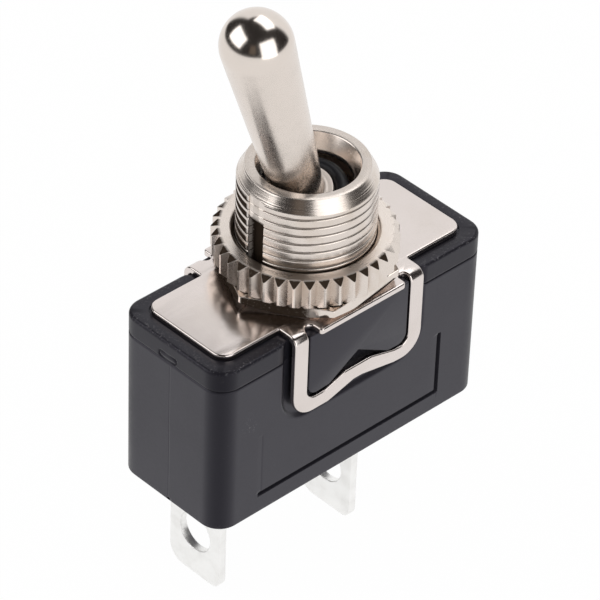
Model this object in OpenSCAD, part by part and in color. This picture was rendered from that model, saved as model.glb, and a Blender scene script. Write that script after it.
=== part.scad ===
// Single-pole panel toggle switch: threaded bush, metal lever, folded frame and moulded case.
// Millimetres. The origin is on the bush axis at the top face of the frame plate, +Z runs up the
// bush, X runs along the case, and the lever leans to -X, where the contacts are open.

/* [Case] */
// Length of the case and cover
case_len = 30.9; // [27:0.1:40]
// Width of the case and cover
case_wid = 12.55; // [12.2:0.05:16]
// Height of the lower moulding, from its floor's underside to the seam
case_h = 14.86; // [14.2:0.01:20]
// Height of the cover, from the seam to the top of its rim
cover_h = 1.96; // [1.7:0.01:3]
// Radius of the upright corners
case_corner_r = 2; // [0.5:0.1:3]
// Thickness of the side walls
case_wall = 1.2; // [0.8:0.05:1.4]
// Thickness of the floor
floor_t = 1.5; // [1:0.1:2]
// How far the case's middle sits from the bush axis, along the length
case_shift = 0.24; // [0:0.01:0.5]
// Radius of the cover's top outer edge
cover_round = 0.3; // [0.2:0.05:0.9]

/* [Frame plate] */
// Length of the plate
plate_len = 27.8; // [24:0.1:29]
// Width of the plate between its straight edges
plate_wid = 9.6; // [9:0.05:10]
// Sheet thickness
plate_t = 0.6; // [0.4:0.05:0.8]
// Radius of the plate's corners
plate_corner_r = 1.3; // [0.5:0.1:2]
// How far the plate stands proud of the cover's rim
plate_proud = 0.45; // [0.2:0.05:0.5]
// Gap round the plate in the cover's recess
recess_gap = 0.25; // [0.1:0.05:0.4]

/* [Strap loops] */
// Width over both arms of a loop
loop_wid = 14.8; // [13.5:0.1:17]
// Width of one arm
arm_wid = 1.5; // [1:0.1:2]
// Depth of a loop's lower edge below the plate's top face, at its corners
loop_drop = 8.6; // [7.5:0.1:10]
// Height of the bar that joins the two arms
bar_h = 1.4; // [1:0.1:1.8]
// Rise of the crimp in the middle of the bar
crimp_rise = 0.8; // [0.3:0.05:1]
// Width of the crimp at its foot
crimp_wid = 8; // [5:0.1:9]
// Width of the crimp's flat top
crimp_top = 2.6; // [0.6:0.1:3]
// Outer radius of a loop's lower corners
loop_corner_r = 2.2; // [1.6:0.1:3]
// Gap between a loop's arm and the wall behind it
loop_wall_gap = 0.07; // [0.03:0.01:0.2]
// How far the plate's free edge stands out past the loop's face
lip_proud = 0.35; // [0:0.05:0.5]
// Radius of the relief notches beside the arms
relief_r = 0.5; // [0.2:0.05:0.7]

/* [Case sides] */
// Depth of the pocket behind a loop
pocket_depth = 0.35; // [0.1:0.05:0.5]
// Room between a loop and the floor of its pocket's edge
pocket_gap = 0.35; // [0.2:0.05:0.8]
// Width of the sloping lip of the pocket
pocket_slope = 0.45; // [0.2:0.05:0.8]
// Gap between the raised pad and the loop's arms
pad_gap = 0.2; // [0.1:0.05:0.4]
// How far the pad's face lies behind the loop's face
pad_step = 0.1; // [0.05:0.05:0.4]
// Depth of the pad's lower edge below the plate's top face
pad_drop = 6.95; // [6:0.05:7.05]
// Rise of the notch in the pad's lower edge
pad_notch_rise = 2.05; // [1:0.05:3]
// Width of that notch at its foot
pad_notch_wid = 7; // [5.4:0.1:8]
// Width over the groove frame on the long face
frame_groove_wid = 20.72; // [18:0.01:24]
// Depth of the groove frame's lowest line below the plate's top face
frame_groove_drop = 15.3; // [13:0.1:16]
// Height of the groove frame's upright lines
frame_groove_h = 6.2; // [3:0.1:6.4]
// Width of the groove
groove_wid = 0.35; // [0.2:0.05:0.6]
// Depth of the groove
groove_depth = 0.25; // [0.1:0.05:0.4]

/* [Bush] */
// Diameter over the thread
bush_d = 11.9; // [11.8:0.05:13]
// Height of the bush above the plate
bush_h = 10.85; // [10.6:0.05:13]
// Diameter of the mouth at the top
mouth_d = 8.88; // [8.6:0.02:9.6]
// Diameter of the throat under the mouth
throat_d = 7.6; // [7.5:0.02:8]
// Depth of the throat below the top
throat_depth = 1.45; // [1.2:0.05:1.6]
// Width of the flat lip at the top
lip_wid = 0.82; // [0.3:0.01:1]
// Height of the lip's outer chamfer
lip_chamfer_h = 1.2; // [0.8:0.05:1.3]
// Bore that the lever's ball turns in
ball_bore_d = 8.4; // [8.3:0.02:8.8]
// Diameter of the chamber that clears the seal
seal_chamber_d = 10; // [9.96:0.02:10.1]
// Diameter of the neck through the plate
neck_d = 10.4; // [10.2:0.05:10.8]
// Width of the keyway
keyway_wid = 1.75; // [1:0.05:2.5]
// Depth of the keyway
keyway_depth = 0.5; // [0.3:0.05:0.55]
// Diameter of the washer that the neck is staked over
stake_d = 11.1; // [10.9:0.05:11.2]
// Thickness of that washer
stake_t = 0.6; // [0.3:0.05:0.7]

/* [Nuts] */
// Hex nut across its flats
hex_af = 14; // [13.5:0.1:17]
// Hex nut's thickness
hex_h = 1.2; // [1:0.1:1.4]
// Turn of the hex nut as it was left on the thread, in degrees
hex_turn = 4.3; // [0:0.1:60]
// Knurled nut's diameter over the ridges
ring_d = 15.9; // [15:0.1:20]
// Knurled nut's thickness
ring_h = 2.8; // [2:0.1:3]
// Number of ridges on the knurled nut
ridge_count = 38; // [24:1:48]
// Depth of the knurl
knurl_depth = 0.72; // [0.4:0.02:0.9]
// Lean of the loose knurled nut on the thread, in degrees
ring_lean = 1.5; // [0:0.1:1.8]

/* [Lever] */
// Height of the lever's pivot above the plate
pivot_h = 5; // [4.8:0.1:5.2]
// Lean of the lever to each side, in degrees
lever_lean = 17.15; // [12:0.05:17.5]
// Length from the pivot to the middle of the round end
lever_len = 21.2; // [16:0.1:28]
// Diameter of the round end
knob_d = 6.16; // [5:0.02:7]
// Diameter of the stem where it leaves the collar
stem_d = 4.3; // [3.6:0.02:4.4]
// Diameter of the ball
ball_d = 8.2; // [8:0.02:8.3]
// Height of the collar's top above the pivot
collar_h = 3.5; // [3.2:0.05:3.6]
// Thickness of the seal ring's section
seal_section = 1.3; // [1:0.02:1.32]
// Diameter of the collar that the seal ring sits round
collar_d = 5.9; // [5.4:0.02:5.94]
// Diameter of the tail below the ball
tail_d = 3.8; // [3.4:0.02:4]
// Length of the tail, from the pivot to its end
tail_len = 7.2; // [6.6:0.05:7.6]
// Diameter of the pivot pin
pin_d = 1.6; // [1.2:0.05:1.8]
// Length of the pivot pin
pin_len = 9.4; // [9:0.05:9.6]

/* [Plunger] */
// Diameter of the plunger
plunger_d = 2.4; // [2:0.05:2.6]
// Length of the plunger's shank, above the middle of its round tip
plunger_len = 5.4; // [4.6:0.05:6]
// Travel of the plunger into the tail
plunger_travel = 0.8; // [0.3:0.05:1]
// Wire diameter of the plunger's spring
wire_d = 0.32; // [0.2:0.02:0.4]
// Working turns of the spring
spring_turns = 6; // [4:1:8]

/* [Contacts] */
// Depth of the rocker's pivot below the plate's top face
fulcrum_drop = 7.5; // [7.2:0.05:7.8]
// Tilt of the rocker to each side, in degrees
rocker_tilt = 8; // [5:0.1:8.5]
// Thickness of the rocker blade
blade_t = 0.6; // [0.4:0.05:0.7]
// Width of the rocker blade
blade_wid = 4.6; // [3.6:0.1:5]
// Radius of the hollow that the plunger rides in
cradle_r = 6.2; // [6:0.05:6.6]
// Distance from the rocker's pivot to the contact
contact_reach = 9.3; // [8.6:0.05:9.6]
// Diameter of the contacts
contact_d = 3; // [2:0.1:3.2]
// Height of a contact's head
contact_h = 0.8; // [0.5:0.05:0.9]
// Distance from the rocker's pivot to its resting end
rest_reach = 7; // [6.4:0.1:8]
// Diameter of the rocker's trunnions
trunnion_d = 0.9; // [0.7:0.05:1]
// Thickness of the fulcrum's sheet
fulcrum_t = 0.8; // [0.5:0.05:1]

/* [Solder lugs] */
// Width of a lug
lug_wid = 6.3; // [5.6:0.05:6.8]
// Thickness of a lug
lug_t = 0.8; // [0.5:0.05:1]
// Length of the end lug below the case
end_lug_len = 10.1; // [8:0.1:14]
// Length of the common lug below the case
common_lug_len = 10.9; // [8:0.1:14]
// Distance of the end lug's outer face from the bush axis
end_lug_x = 11.97; // [11.8:0.01:12.4]
// Distance of the common lug's near face from the bush axis
common_lug_x = 3.55; // [3.3:0.01:4]
// Diameter of the hole in a lug
lug_hole_d = 3.8; // [2:0.1:4.2]
// Height of the hole's middle above the lug's end
lug_hole_h = 4.6; // [3.6:0.1:5]
// Radius of a lug's front lower corner
lug_front_r = 1; // [0.3:0.1:1.8]
// Radius of a lug's back lower corner
lug_back_r = 1.7; // [0.3:0.1:2]

/* [Clearances] */
// Radial clearance of the pins, the plunger and the trunnions
fit_clearance = 0.05; // [0.01:0.01:0.08]
// Radial clearance of the nuts on the thread
thread_clearance = 0.1; // [0.06:0.01:0.15]
// Gap left between the plunger's tip and the rocker, and between parts that meet at a stop
touch_gap = 0.1; // [0.05:0.01:0.15]
// Clearance of the sheet parts in their slots
slot_clearance = 0.05; // [0.02:0.01:0.1]

/* [Hidden] */
$fn = 64;

// A length that carries a cut past the face it opens
cut = 1;

// Levels, measured from the plate's top face
rim_z = -plate_proud;
seam_z = rim_z - cover_h;
base_z = seam_z - case_h;
floor_z = base_z + floor_t;
plate_z = -plate_t;

// Places along the length
case_end = case_len / 2;
inner_end = case_end - case_wall;
inner_side = case_wid / 2 - case_wall;

// The loop's faces
loop_back = case_wid / 2 + loop_wall_gap;
loop_face = loop_back + plate_t;
lip_face = loop_face + lip_proud;
pad_face = loop_face - pad_step;
arm_mid = (loop_wid - arm_wid) / 2;
bend_r = plate_t + 0.4;
pad_half = loop_wid / 2 - arm_wid - pad_gap;
pad_back = stake_d / 2 + 0.15;
pad_corner_r = 1;
pocket_half = loop_wid / 2 + pocket_gap;
pocket_drop = loop_drop + pocket_gap;
relief_mid = loop_wid / 2 - arm_wid - relief_r / 2;

// The bush's inside
throat_z = bush_h - throat_depth;
throat_land = 0.3;
chamber_top = throat_z - throat_land;
chamber_bottom = pivot_h + 1;
stake_z = plate_z - stake_t;
stake_bore = neck_d / 2;
grip_z = hex_h + ring_h + 0.6;
relief_h = 1.6;
relief_depth = 0.3;

// The cover's opening
cover_well_d = stake_d + 2 * slot_clearance;
cover_well_z = stake_z;
insulator_t = 0.4;
insulator_z = cover_well_z - insulator_t;
tail_window_len = 9;
tail_window_wid = 5.4;

// Lever, in its own upright frame with the pivot at the origin
stem_slope = (knob_d - stem_d) / 2 / (lever_len - collar_h);
seal_mid_r = (collar_d + seal_section) / 2;
seal_sink = 0.7;
seal_mid_h = collar_h - seal_sink;
shoulder_h = seal_mid_h - seal_section / 2;
tail_bore_d = plunger_d + 2 * fit_clearance;
tail_bore_top = -(pin_d / 2 + 0.3);

// Plunger and rocker
fulcrum_z = -fulcrum_drop;
blade_half = blade_t / 2;
tip_drop = pivot_h - (fulcrum_z + blade_half + touch_gap + plunger_d / 2);
shank_top = -(tip_drop - plunger_len);
spring_len = tail_bore_top - shank_top;
spring_r = plunger_d / 2 - wire_d / 2 - fit_clearance;
cradle_mid = blade_half + cradle_r;
cradle_half = 3.7;
shoulder_run = 1.7;
blade_end = contact_reach + contact_d / 2 + 0.1;
trunnion_len = 0.9;
ear_face = blade_wid / 2 + 0.15;
ear_len = 3;

// Fixed contact and end terminal
contact_drop = contact_reach * sin(rocker_tilt) + (contact_h + blade_half) * cos(rocker_tilt);
fixed_top = fulcrum_z - contact_drop - touch_gap;
arm_top = fixed_top - contact_h;
fixed_x = -(contact_reach * cos(rocker_tilt) - (contact_h + blade_half) * sin(rocker_tilt));
arm_end = fixed_x + contact_d / 2 + 0.5;
rivet_d = 1.4;
stem_proud = 0.3;

// Stop for the rocker's resting end
rest_run = 1.4;
rest_top = fulcrum_z - (rest_reach + rest_run / 2) * sin(rocker_tilt) - blade_half * cos(rocker_tilt) - touch_gap;

// Common terminal's foot, with the fulcrum's base riveted on top
foot_top = floor_z + lug_t;
foot_wid = 5;
foot_end = -3;
fulcrum_top = foot_top + fulcrum_t;
rivet_head_d = 2.6;
rivet_head_h = 0.5;

// Upright prism with rounded corners, from z0 to z1
module rounded_block(len, wid, r, z0, z1) {
    translate([0, 0, z0])
        linear_extrude(height = z1 - z0)
            rounded_rect(len, wid, r);
}

// Rectangle with round corners about the origin
module rounded_rect(len, wid, r) {
    square([len - 2 * r, wid], center = true);
    square([len, wid - 2 * r], center = true);
    for (sx = [-1, 1], sy = [-1, 1])
        translate([sx * (len / 2 - r), sy * (wid / 2 - r)])
            circle(r = r);
}

// Runs its children's XZ outline through Y, from y0 to y1 towards +Y
module along_y(y0, y1) {
    translate([0, y1, 0])
        rotate([90, 0, 0])
            linear_extrude(height = y1 - y0)
                children();
}

// Copies its children to the front and the back of the switch
module both_sides() {
    children();
    mirror([0, 1, 0])
        children();
}

// Places the lever's own frame: pivot at its height, leaning to -X
module lever_frame() {
    translate([0, 0, pivot_h])
        rotate([0, -lever_lean, 0])
            children();
}

// Places the rocker's own frame: its resting end down, on +X
module rocker_frame() {
    translate([0, 0, fulcrum_z])
        rotate([0, rocker_tilt, 0])
            children();
}

// Outline of a pocket behind a loop, open at the top
module pocket_outline(grow) {
    half = pocket_half + grow;
    r = loop_corner_r + pocket_gap + grow;
    drop = pocket_drop + grow;
    translate([-half, -drop + r])
        square([2 * half, drop]);
    translate([-half + r, -drop])
        square([2 * half - 2 * r, drop]);
    for (sx = [-1, 1])
        translate([sx * (half - r), -drop + r])
            circle(r = r);
}

// The pocket behind a loop, with its sloping lip, on the -Y side
module loop_pocket() {
    outer = case_wid / 2;
    hull() {
        along_y(-outer - 0.01, -outer + 0.001)
            pocket_outline(pocket_slope);
        along_y(-outer + pocket_depth - 0.001, -outer + pocket_depth)
            pocket_outline(0);
    }
}

// Outline of the raised pad, with the notch in its lower edge
module pad_outline() {
    difference() {
        union() {
            translate([-pad_half, -pad_drop + pad_corner_r])
                square([2 * pad_half, pad_drop - pad_corner_r + plate_z]);
            translate([-pad_half + pad_corner_r, -pad_drop])
                square([2 * (pad_half - pad_corner_r), pad_corner_r + cut]);
            for (sx = [-1, 1])
                translate([sx * (pad_half - pad_corner_r), -pad_drop + pad_corner_r])
                    circle(r = pad_corner_r);
        }
        polygon([
            [-pad_notch_wid / 2, -pad_drop],
            [0, -pad_drop + pad_notch_rise],
            [pad_notch_wid / 2, -pad_drop],
            [pad_notch_wid / 2, -pad_drop - cut],
            [-pad_notch_wid / 2, -pad_drop - cut]
        ]);
    }
}

// Groove frame on the front long face: a floor line and two uprights, the left one faint
module groove_frame() {
    face = -case_wid / 2;
    half = frame_groove_wid / 2;
    low = -frame_groove_drop - groove_wid / 2;
    faint = groove_depth / 4;
    translate([-half - groove_wid / 2, face - cut, low])
        cube([frame_groove_wid + groove_wid, cut + groove_depth, groove_wid]);
    translate([half - groove_wid / 2, face - cut, low])
        cube([groove_wid, cut + groove_depth, frame_groove_h]);
    translate([-half - groove_wid / 2, face - cut, low])
        cube([groove_wid, cut + faint, frame_groove_h]);
}

// A slot through the floor for a lug whose near face is at x
module lug_slot(x) {
    translate([x - slot_clearance, -lug_wid / 2 - slot_clearance, base_z - cut])
        cube([lug_t + 2 * slot_clearance, lug_wid + 2 * slot_clearance, floor_t + 2 * cut]);
}

// Lower moulding: box, pads that the loops hook under, rest for the rocker
module case() {
    wall_top = seam_z;
    color([0.13, 0.125, 0.14])
    difference() {
        union() {
            difference() {
                translate([case_shift, 0, 0])
                    rounded_block(case_len, case_wid, case_corner_r, base_z, wall_top);
                both_sides()
                    loop_pocket();
                translate([case_shift, 0, 0])
                    rounded_block(case_len - 2 * case_wall, case_wid - 2 * case_wall,
                        case_corner_r - case_wall / 2, floor_z, wall_top + cut);
            }
            both_sides() {
                along_y(-pad_face, -pad_back)
                    pad_outline();
                along_y(-pad_face, -inner_side)
                    intersection() {
                        pad_outline();
                        translate([-pad_half, -pad_drop])
                            square([2 * pad_half, pad_drop + seam_z]);
                    }
            }
            translate([rest_reach, -inner_side - slot_clearance, floor_z - slot_clearance])
                cube([rest_run, 2 * (inner_side + slot_clearance), rest_top - floor_z + slot_clearance]);
        }
        groove_frame();
        lug_slot(-end_lug_x);
        lug_slot(common_lug_x);
        translate([0, 0, floor_z - rivet_head_h - slot_clearance])
            cylinder(d = rivet_head_d + 2 * slot_clearance, h = rivet_head_h + cut);
    }
}

// Cover: rim round the plate's recess, well for the staked neck, window for the tail
module cover() {
    recess_r = plate_corner_r + recess_gap;
    wing_half = loop_wid / 2 + recess_gap;
    color([0.12, 0.115, 0.13])
    difference() {
        translate([case_shift, 0, 0]) {
            rounded_block(case_len, case_wid, case_corner_r, seam_z, rim_z - cover_round);
            hull() {
                rounded_block(case_len, case_wid, case_corner_r, rim_z - cover_round - 0.01, rim_z - cover_round);
                for (a = [15 : 15 : 90])
                    rounded_top_slice(a);
            }
        }
        translate([case_shift, 0, 0])
            rounded_block(plate_len + 2 * recess_gap, plate_wid + 2 * recess_gap, recess_r, plate_z, rim_z + cut);
        translate([-wing_half, -case_wid / 2 - cut, plate_z])
            cube([2 * wing_half, case_wid + 2 * cut, plate_t + cut]);
        both_sides() {
            loop_pocket();
            translate([-pad_half - slot_clearance, -pad_face - cut, seam_z - cut])
                cube([2 * (pad_half + slot_clearance), pad_face + cut - pad_back + slot_clearance, case_h]);
        }
        translate([0, 0, cover_well_z])
            cylinder(d = cover_well_d, h = cut + stake_t);
        translate([0, 0, insulator_z])
            cylinder(d = cover_well_d, h = cut + insulator_t);
        translate([-tail_window_len / 2, -tail_window_wid / 2, seam_z - cut])
            cube([tail_window_len, tail_window_wid, cover_h + cut]);
    }
}

// One level of the cover's rounded top edge, at angle a of its quarter round
module rounded_top_slice(a) {
    inset = cover_round * (1 - cos(a));
    z = rim_z - cover_round * (1 - sin(a));
    rounded_block(case_len - 2 * inset, case_wid - 2 * inset, case_corner_r - inset, z - 0.01, z);
}

// Raised outline in the middle of one edge of a loop's bar, with its foot at height z
module crimp(z, top) {
    polygon([
        [-crimp_wid / 2, z], [-top / 2, z + crimp_rise], [top / 2, z + crimp_rise], [crimp_wid / 2, z],
        [crimp_wid / 2, z - cut], [-crimp_wid / 2, z - cut]
    ]);
}

// Outline of a loop below its bend: two arms, round corners and a crimped bar
module loop_outline() {
    half = loop_wid / 2;
    inner_r = loop_corner_r - arm_wid + 0.2;
    inner_low = -loop_drop + bar_h;
    difference() {
        union() {
            translate([-half, -loop_drop + loop_corner_r])
                square([2 * half, loop_drop - loop_corner_r - bend_r]);
            translate([-half + loop_corner_r, -loop_drop])
                square([2 * (half - loop_corner_r), loop_corner_r + cut]);
            for (sx = [-1, 1])
                translate([sx * (half - loop_corner_r), -loop_drop + loop_corner_r])
                    circle(r = loop_corner_r);
        }
        crimp(-loop_drop, crimp_top / 3);
        difference() {
            union() {
                translate([-half + arm_wid, inner_low + inner_r])
                    square([2 * (half - arm_wid), loop_drop]);
                translate([-half + arm_wid + inner_r, inner_low])
                    square([2 * (half - arm_wid - inner_r), inner_r + cut]);
                for (sx = [-1, 1])
                    translate([sx * (half - arm_wid - inner_r), inner_low + inner_r])
                        circle(r = inner_r);
            }
            crimp(inner_low, crimp_top);
        }
    }
}

// One arm's quarter bend from the plate's level down into the loop, on the -Y side
module arm_bend() {
    translate([-arm_wid / 2, -loop_face + bend_r, -bend_r])
        rotate([0, 90, 0])
            linear_extrude(height = arm_wid)
                intersection() {
                    difference() {
                        circle(r = bend_r);
                        circle(r = bend_r - plate_t);
                    }
                    translate([-bend_r, -bend_r])
                        square(bend_r);
                }
}

// Folded frame: plate, two wings with their free lips, and a loop down each side
module frame_plate() {
    lip_half = loop_wid / 2 - arm_wid - relief_r;
    color([0.80, 0.78, 0.75])
    difference() {
        union() {
            translate([case_shift, 0, 0])
                rounded_block(plate_len, plate_wid, plate_corner_r, plate_z, 0);
            translate([-loop_wid / 2, -loop_face + bend_r, plate_z])
                cube([loop_wid, 2 * (loop_face - bend_r), plate_t]);
            translate([-lip_half, -lip_face, plate_z])
                cube([2 * lip_half, 2 * lip_face, plate_t]);
            both_sides() {
                for (sx = [-1, 1])
                    translate([sx * arm_mid, 0, 0])
                        arm_bend();
                along_y(-loop_face, -loop_back)
                    loop_outline();
            }
        }
        for (sx = [-1, 1], sy = [-1, 1])
            translate([sx * (lip_half + relief_r / 2), sy * (loop_face - bend_r), plate_z - cut])
                cylinder(r = relief_r, h = plate_t + 2 * cut);
        translate([0, 0, plate_z - cut])
            cylinder(d = neck_d + 2 * slot_clearance, h = plate_t + 2 * cut);
    }
}

// Washer under the plate that the bush's neck is staked over
module staking_washer() {
    color([0.70, 0.69, 0.66])
    translate([0, 0, stake_z])
        difference() {
            cylinder(d = stake_d, h = stake_t);
            translate([0, 0, -cut])
                cylinder(r = stake_bore + slot_clearance, h = stake_t + 2 * cut);
        }
}

// Fibre washer between the staked neck and the cover
module insulator() {
    color([0.45, 0.22, 0.14])
    translate([0, 0, insulator_z])
        difference() {
            cylinder(d = stake_d, h = insulator_t);
            translate([0, 0, -cut])
                cylinder(d = ball_bore_d + 0.6, h = insulator_t + 2 * cut);
        }
}

// Bush: threaded barrel with a coned mouth, seal chamber, ball bore and slots for the pin
module bush() {
    r = bush_d / 2;
    pin_room = pin_d / 2 + fit_clearance;
    slot_end = pin_len / 2 + 0.15;
    color([0.79, 0.77, 0.73])
    difference() {
        rotate_extrude()
            polygon([
                [ball_bore_d / 2, stake_z],
                [neck_d / 2, stake_z],
                [neck_d / 2, 0],
                [r, 0],
                [r, grip_z - relief_h],
                [r - relief_depth, grip_z - relief_h],
                [r - relief_depth, grip_z],
                [r, grip_z],
                [r, bush_h - lip_chamfer_h],
                [mouth_d / 2 + lip_wid, bush_h],
                [mouth_d / 2, bush_h],
                [throat_d / 2, throat_z],
                [throat_d / 2, chamber_top],
                [seal_chamber_d / 2, chamber_top],
                [seal_chamber_d / 2, chamber_bottom],
                [ball_bore_d / 2, chamber_bottom - 0.3]
            ]);
        translate([-r - cut, -keyway_wid / 2, 0])
            cube([cut + keyway_depth, keyway_wid, bush_h + cut]);
        rotate([90, 0, 0])
            translate([0, pivot_h, -slot_end])
                cylinder(r = pin_room, h = 2 * slot_end);
        translate([-pin_room, -slot_end, stake_z - cut])
            cube([2 * pin_room, 2 * slot_end, pivot_h - stake_z + cut]);
    }
}

// Hex nut, flat on top and chamfered below
module hex_nut() {
    corner_r = hex_af / sqrt(3);
    chamfer_r = hex_af / 2 - 0.15;
    chamfer_slope = 0.46;
    color([0.76, 0.74, 0.69])
    difference() {
        intersection() {
            rotate([0, 0, hex_turn])
                cylinder(r = corner_r, h = hex_h, $fn = 6);
            rotate_extrude()
                polygon([
                    [0, 0], [chamfer_r, 0],
                    [corner_r + 0.2, (corner_r + 0.2 - chamfer_r) * chamfer_slope],
                    [corner_r + 0.2, hex_h], [0, hex_h]
                ]);
        }
        translate([0, 0, -cut])
            cylinder(r = bush_d / 2 + thread_clearance, h = hex_h + 2 * cut);
    }
}

// Knurled nut: upright V ridges with both rims chamfered, left leaning a little on the thread
module knurled_nut() {
    tip = ring_d / 2;
    root = tip - knurl_depth;
    chamfer_h = knurl_depth * 0.6;
    step = 360 / ridge_count;
    lift = hex_h + root * sin(ring_lean * 1.3) + 0.03;
    color([0.83, 0.81, 0.78])
    translate([0, 0, lift])
        rotate([ring_lean * 0.6, -ring_lean, 0])
            difference() {
                intersection() {
                    linear_extrude(height = ring_h)
                        polygon([for (i = [0 : ridge_count - 1], k = [0, 1])
                            let (a = (i + k / 2) * step, q = k == 0 ? tip : root)
                            [q * cos(a), q * sin(a)]]);
                    rotate_extrude()
                        polygon([
                            [0, 0], [root, 0], [tip, chamfer_h],
                            [tip, ring_h - chamfer_h], [root, ring_h], [0, ring_h]
                        ]);
                }
                translate([0, 0, -cut])
                    cylinder(r = bush_d / 2 + thread_clearance, h = ring_h + 2 * cut);
            }
}

// Lever: tapered stem with a round end, collar, ball and a tail bored for the plunger
module lever() {
    ball_r = ball_d / 2;
    flat_r = sqrt(pow(ball_r, 2) - pow(shoulder_h, 2));
    tail_r = tail_d / 2;
    tail_join = sqrt(pow(ball_r, 2) - pow(tail_r, 2));
    color([0.81, 0.79, 0.75])
    lever_frame()
        difference() {
            union() {
                rotate_extrude()
                    union() {
                        intersection() {
                            circle(r = ball_r);
                            translate([0, -ball_r])
                                square([ball_r, ball_r + shoulder_h]);
                        }
                        translate([0, 0])
                            square([collar_d / 2, collar_h]);
                        polygon([
                            [0, 0], [stem_d / 2, 0], [stem_d / 2, collar_h],
                            [stem_d / 2 + stem_slope * (lever_len - collar_h), lever_len], [0, lever_len]
                        ]);
                        translate([0, lever_len])
                            intersection() {
                                circle(r = knob_d / 2);
                                translate([0, -knob_d / 4])
                                    square([knob_d, knob_d]);
                            }
                        translate([0, -tail_len])
                            square([tail_r, tail_len]);
                    }
            }
            rotate([90, 0, 0])
                translate([0, 0, -ball_d])
                    cylinder(d = pin_d, h = 2 * ball_d);
            translate([0, 0, -tail_len - cut])
                cylinder(d = tail_bore_d, h = tail_len + cut + tail_bore_top);
        }
}

// Pivot pin, across the switch
module pivot_pin() {
    color([0.62, 0.62, 0.64])
    lever_frame()
        rotate([90, 0, 0])
            translate([0, 0, -pin_len / 2])
                cylinder(d = pin_d, h = pin_len);
}

// Rubber seal ring round the lever's collar
module seal_ring() {
    color([0.05, 0.05, 0.055])
    lever_frame()
        translate([0, 0, seal_mid_h])
            rotate_extrude()
                translate([seal_mid_r, 0])
                    circle(d = seal_section);
}

// Plunger: nylon rod with a round tip
module plunger() {
    color([0.90, 0.88, 0.82])
    lever_frame()
        translate([0, 0, -tip_drop])
            rotate_extrude()
                union() {
                    square([plunger_d / 2, plunger_len]);
                    intersection() {
                        circle(d = plunger_d);
                        translate([0, -plunger_d])
                            square(plunger_d);
                    }
                }
}

// Point of the spring's helix: turn t from 0 to the full count, and side angle w on the wire
function coil_point(t, w) =
    let (
        a = 360 * t,
        full = spring_turns,
        z = shank_top + wire_d / 2 + (spring_len - wire_d) * t / full,
        q = spring_r + wire_d / 2 * cos(w)
    )
    [q * cos(a), q * sin(a), z + wire_d / 2 * sin(w)];

// Plunger spring: a wire swept along a helix
module plunger_spring() {
    per_turn = 16;
    sides = 8;
    rings = spring_turns * per_turn;
    color([0.72, 0.72, 0.74])
    lever_frame()
        polyhedron(
            points = [for (i = [0 : rings], k = [0 : sides - 1]) coil_point(i / per_turn, -360 * k / sides)],
            faces = concat(
                [[for (k = [0 : sides - 1]) k]],
                [for (i = [0 : rings - 1], k = [0 : sides - 1])
                    let (n = (k + 1) % sides)
                    [i * sides + k, (i + 1) * sides + k, (i + 1) * sides + n, i * sides + n]],
                [[for (k = [sides - 1 : -1 : 0]) rings * sides + k]]
            ),
            convexity = 10
        );
}

// Side outline of the rocker: a hollow for the plunger, a long contact arm and a short resting arm
module rocker_outline() {
    rise = cradle_mid - sqrt(pow(cradle_r, 2) - pow(cradle_half, 2));
    intersection() {
        translate([0, cradle_mid])
            difference() {
                circle(r = cradle_r + blade_t);
                circle(r = cradle_r);
            }
        translate([-cradle_half, -blade_t])
            square([2 * cradle_half, rise + 2 * blade_t]);
    }
    for (side = [[-1, blade_end], [1, rest_reach + rest_run]])
        polygon([
            [side[0] * (cradle_half - 0.35), rise - blade_t],
            [side[0] * (cradle_half - 0.02), rise],
            [side[0] * (cradle_half + 0.5), rise],
            [side[0] * (cradle_half + shoulder_run + 0.3), blade_half],
            [side[0] * side[1], blade_half],
            [side[0] * side[1], -blade_half],
            [side[0] * (cradle_half + shoulder_run), -blade_half],
            [side[0] * (cradle_half + 0.1), rise - blade_t]
        ]);
}

// Rocker: the moving contact blade with a trunnion on each side
module rocker() {
    color([0.80, 0.60, 0.32])
    rocker_frame()
        difference() {
            union() {
                along_y(-blade_wid / 2, blade_wid / 2)
                    rocker_outline();
                rotate([90, 0, 0])
                    translate([0, 0, -blade_wid / 2 - trunnion_len])
                        cylinder(d = trunnion_d, h = blade_wid + 2 * trunnion_len);
            }
            translate([-contact_reach, 0, -cut])
                cylinder(d = rivet_d, h = 2 * cut);
            translate([0, 0, cradle_mid])
                rotate([90, 0, 0])
                    translate([0, 0, -blade_wid / 2])
                        cylinder(r = cradle_r, h = blade_wid);
        }
}

// A contact rivet: domed head of height h, stem through a sheet of thickness t, small clinched end
module contact_rivet(t) {
    crown = 0.15;
    rotate_extrude()
        polygon([
            [0, 0], [contact_d / 4, crown / 4], [contact_d / 2 - crown, crown], [contact_d / 2, 2 * crown],
            [contact_d / 2, contact_h], [rivet_d / 2, contact_h], [rivet_d / 2, contact_h + t],
            [rivet_d / 2 + 0.2, contact_h + t], [rivet_d / 2, contact_h + t + stem_proud], [0, contact_h + t + stem_proud]
        ]);
}

// Silver contact under the rocker's long arm
module rocker_contact() {
    color([0.86, 0.86, 0.85])
    rocker_frame()
        translate([-contact_reach, 0, -blade_half - contact_h])
            contact_rivet(blade_t);
}

// Silver contact on the end terminal
module fixed_contact() {
    color([0.86, 0.86, 0.85])
    translate([fixed_x, 0, fixed_top])
        mirror([0, 0, 1])
            contact_rivet(lug_t);
}

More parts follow.
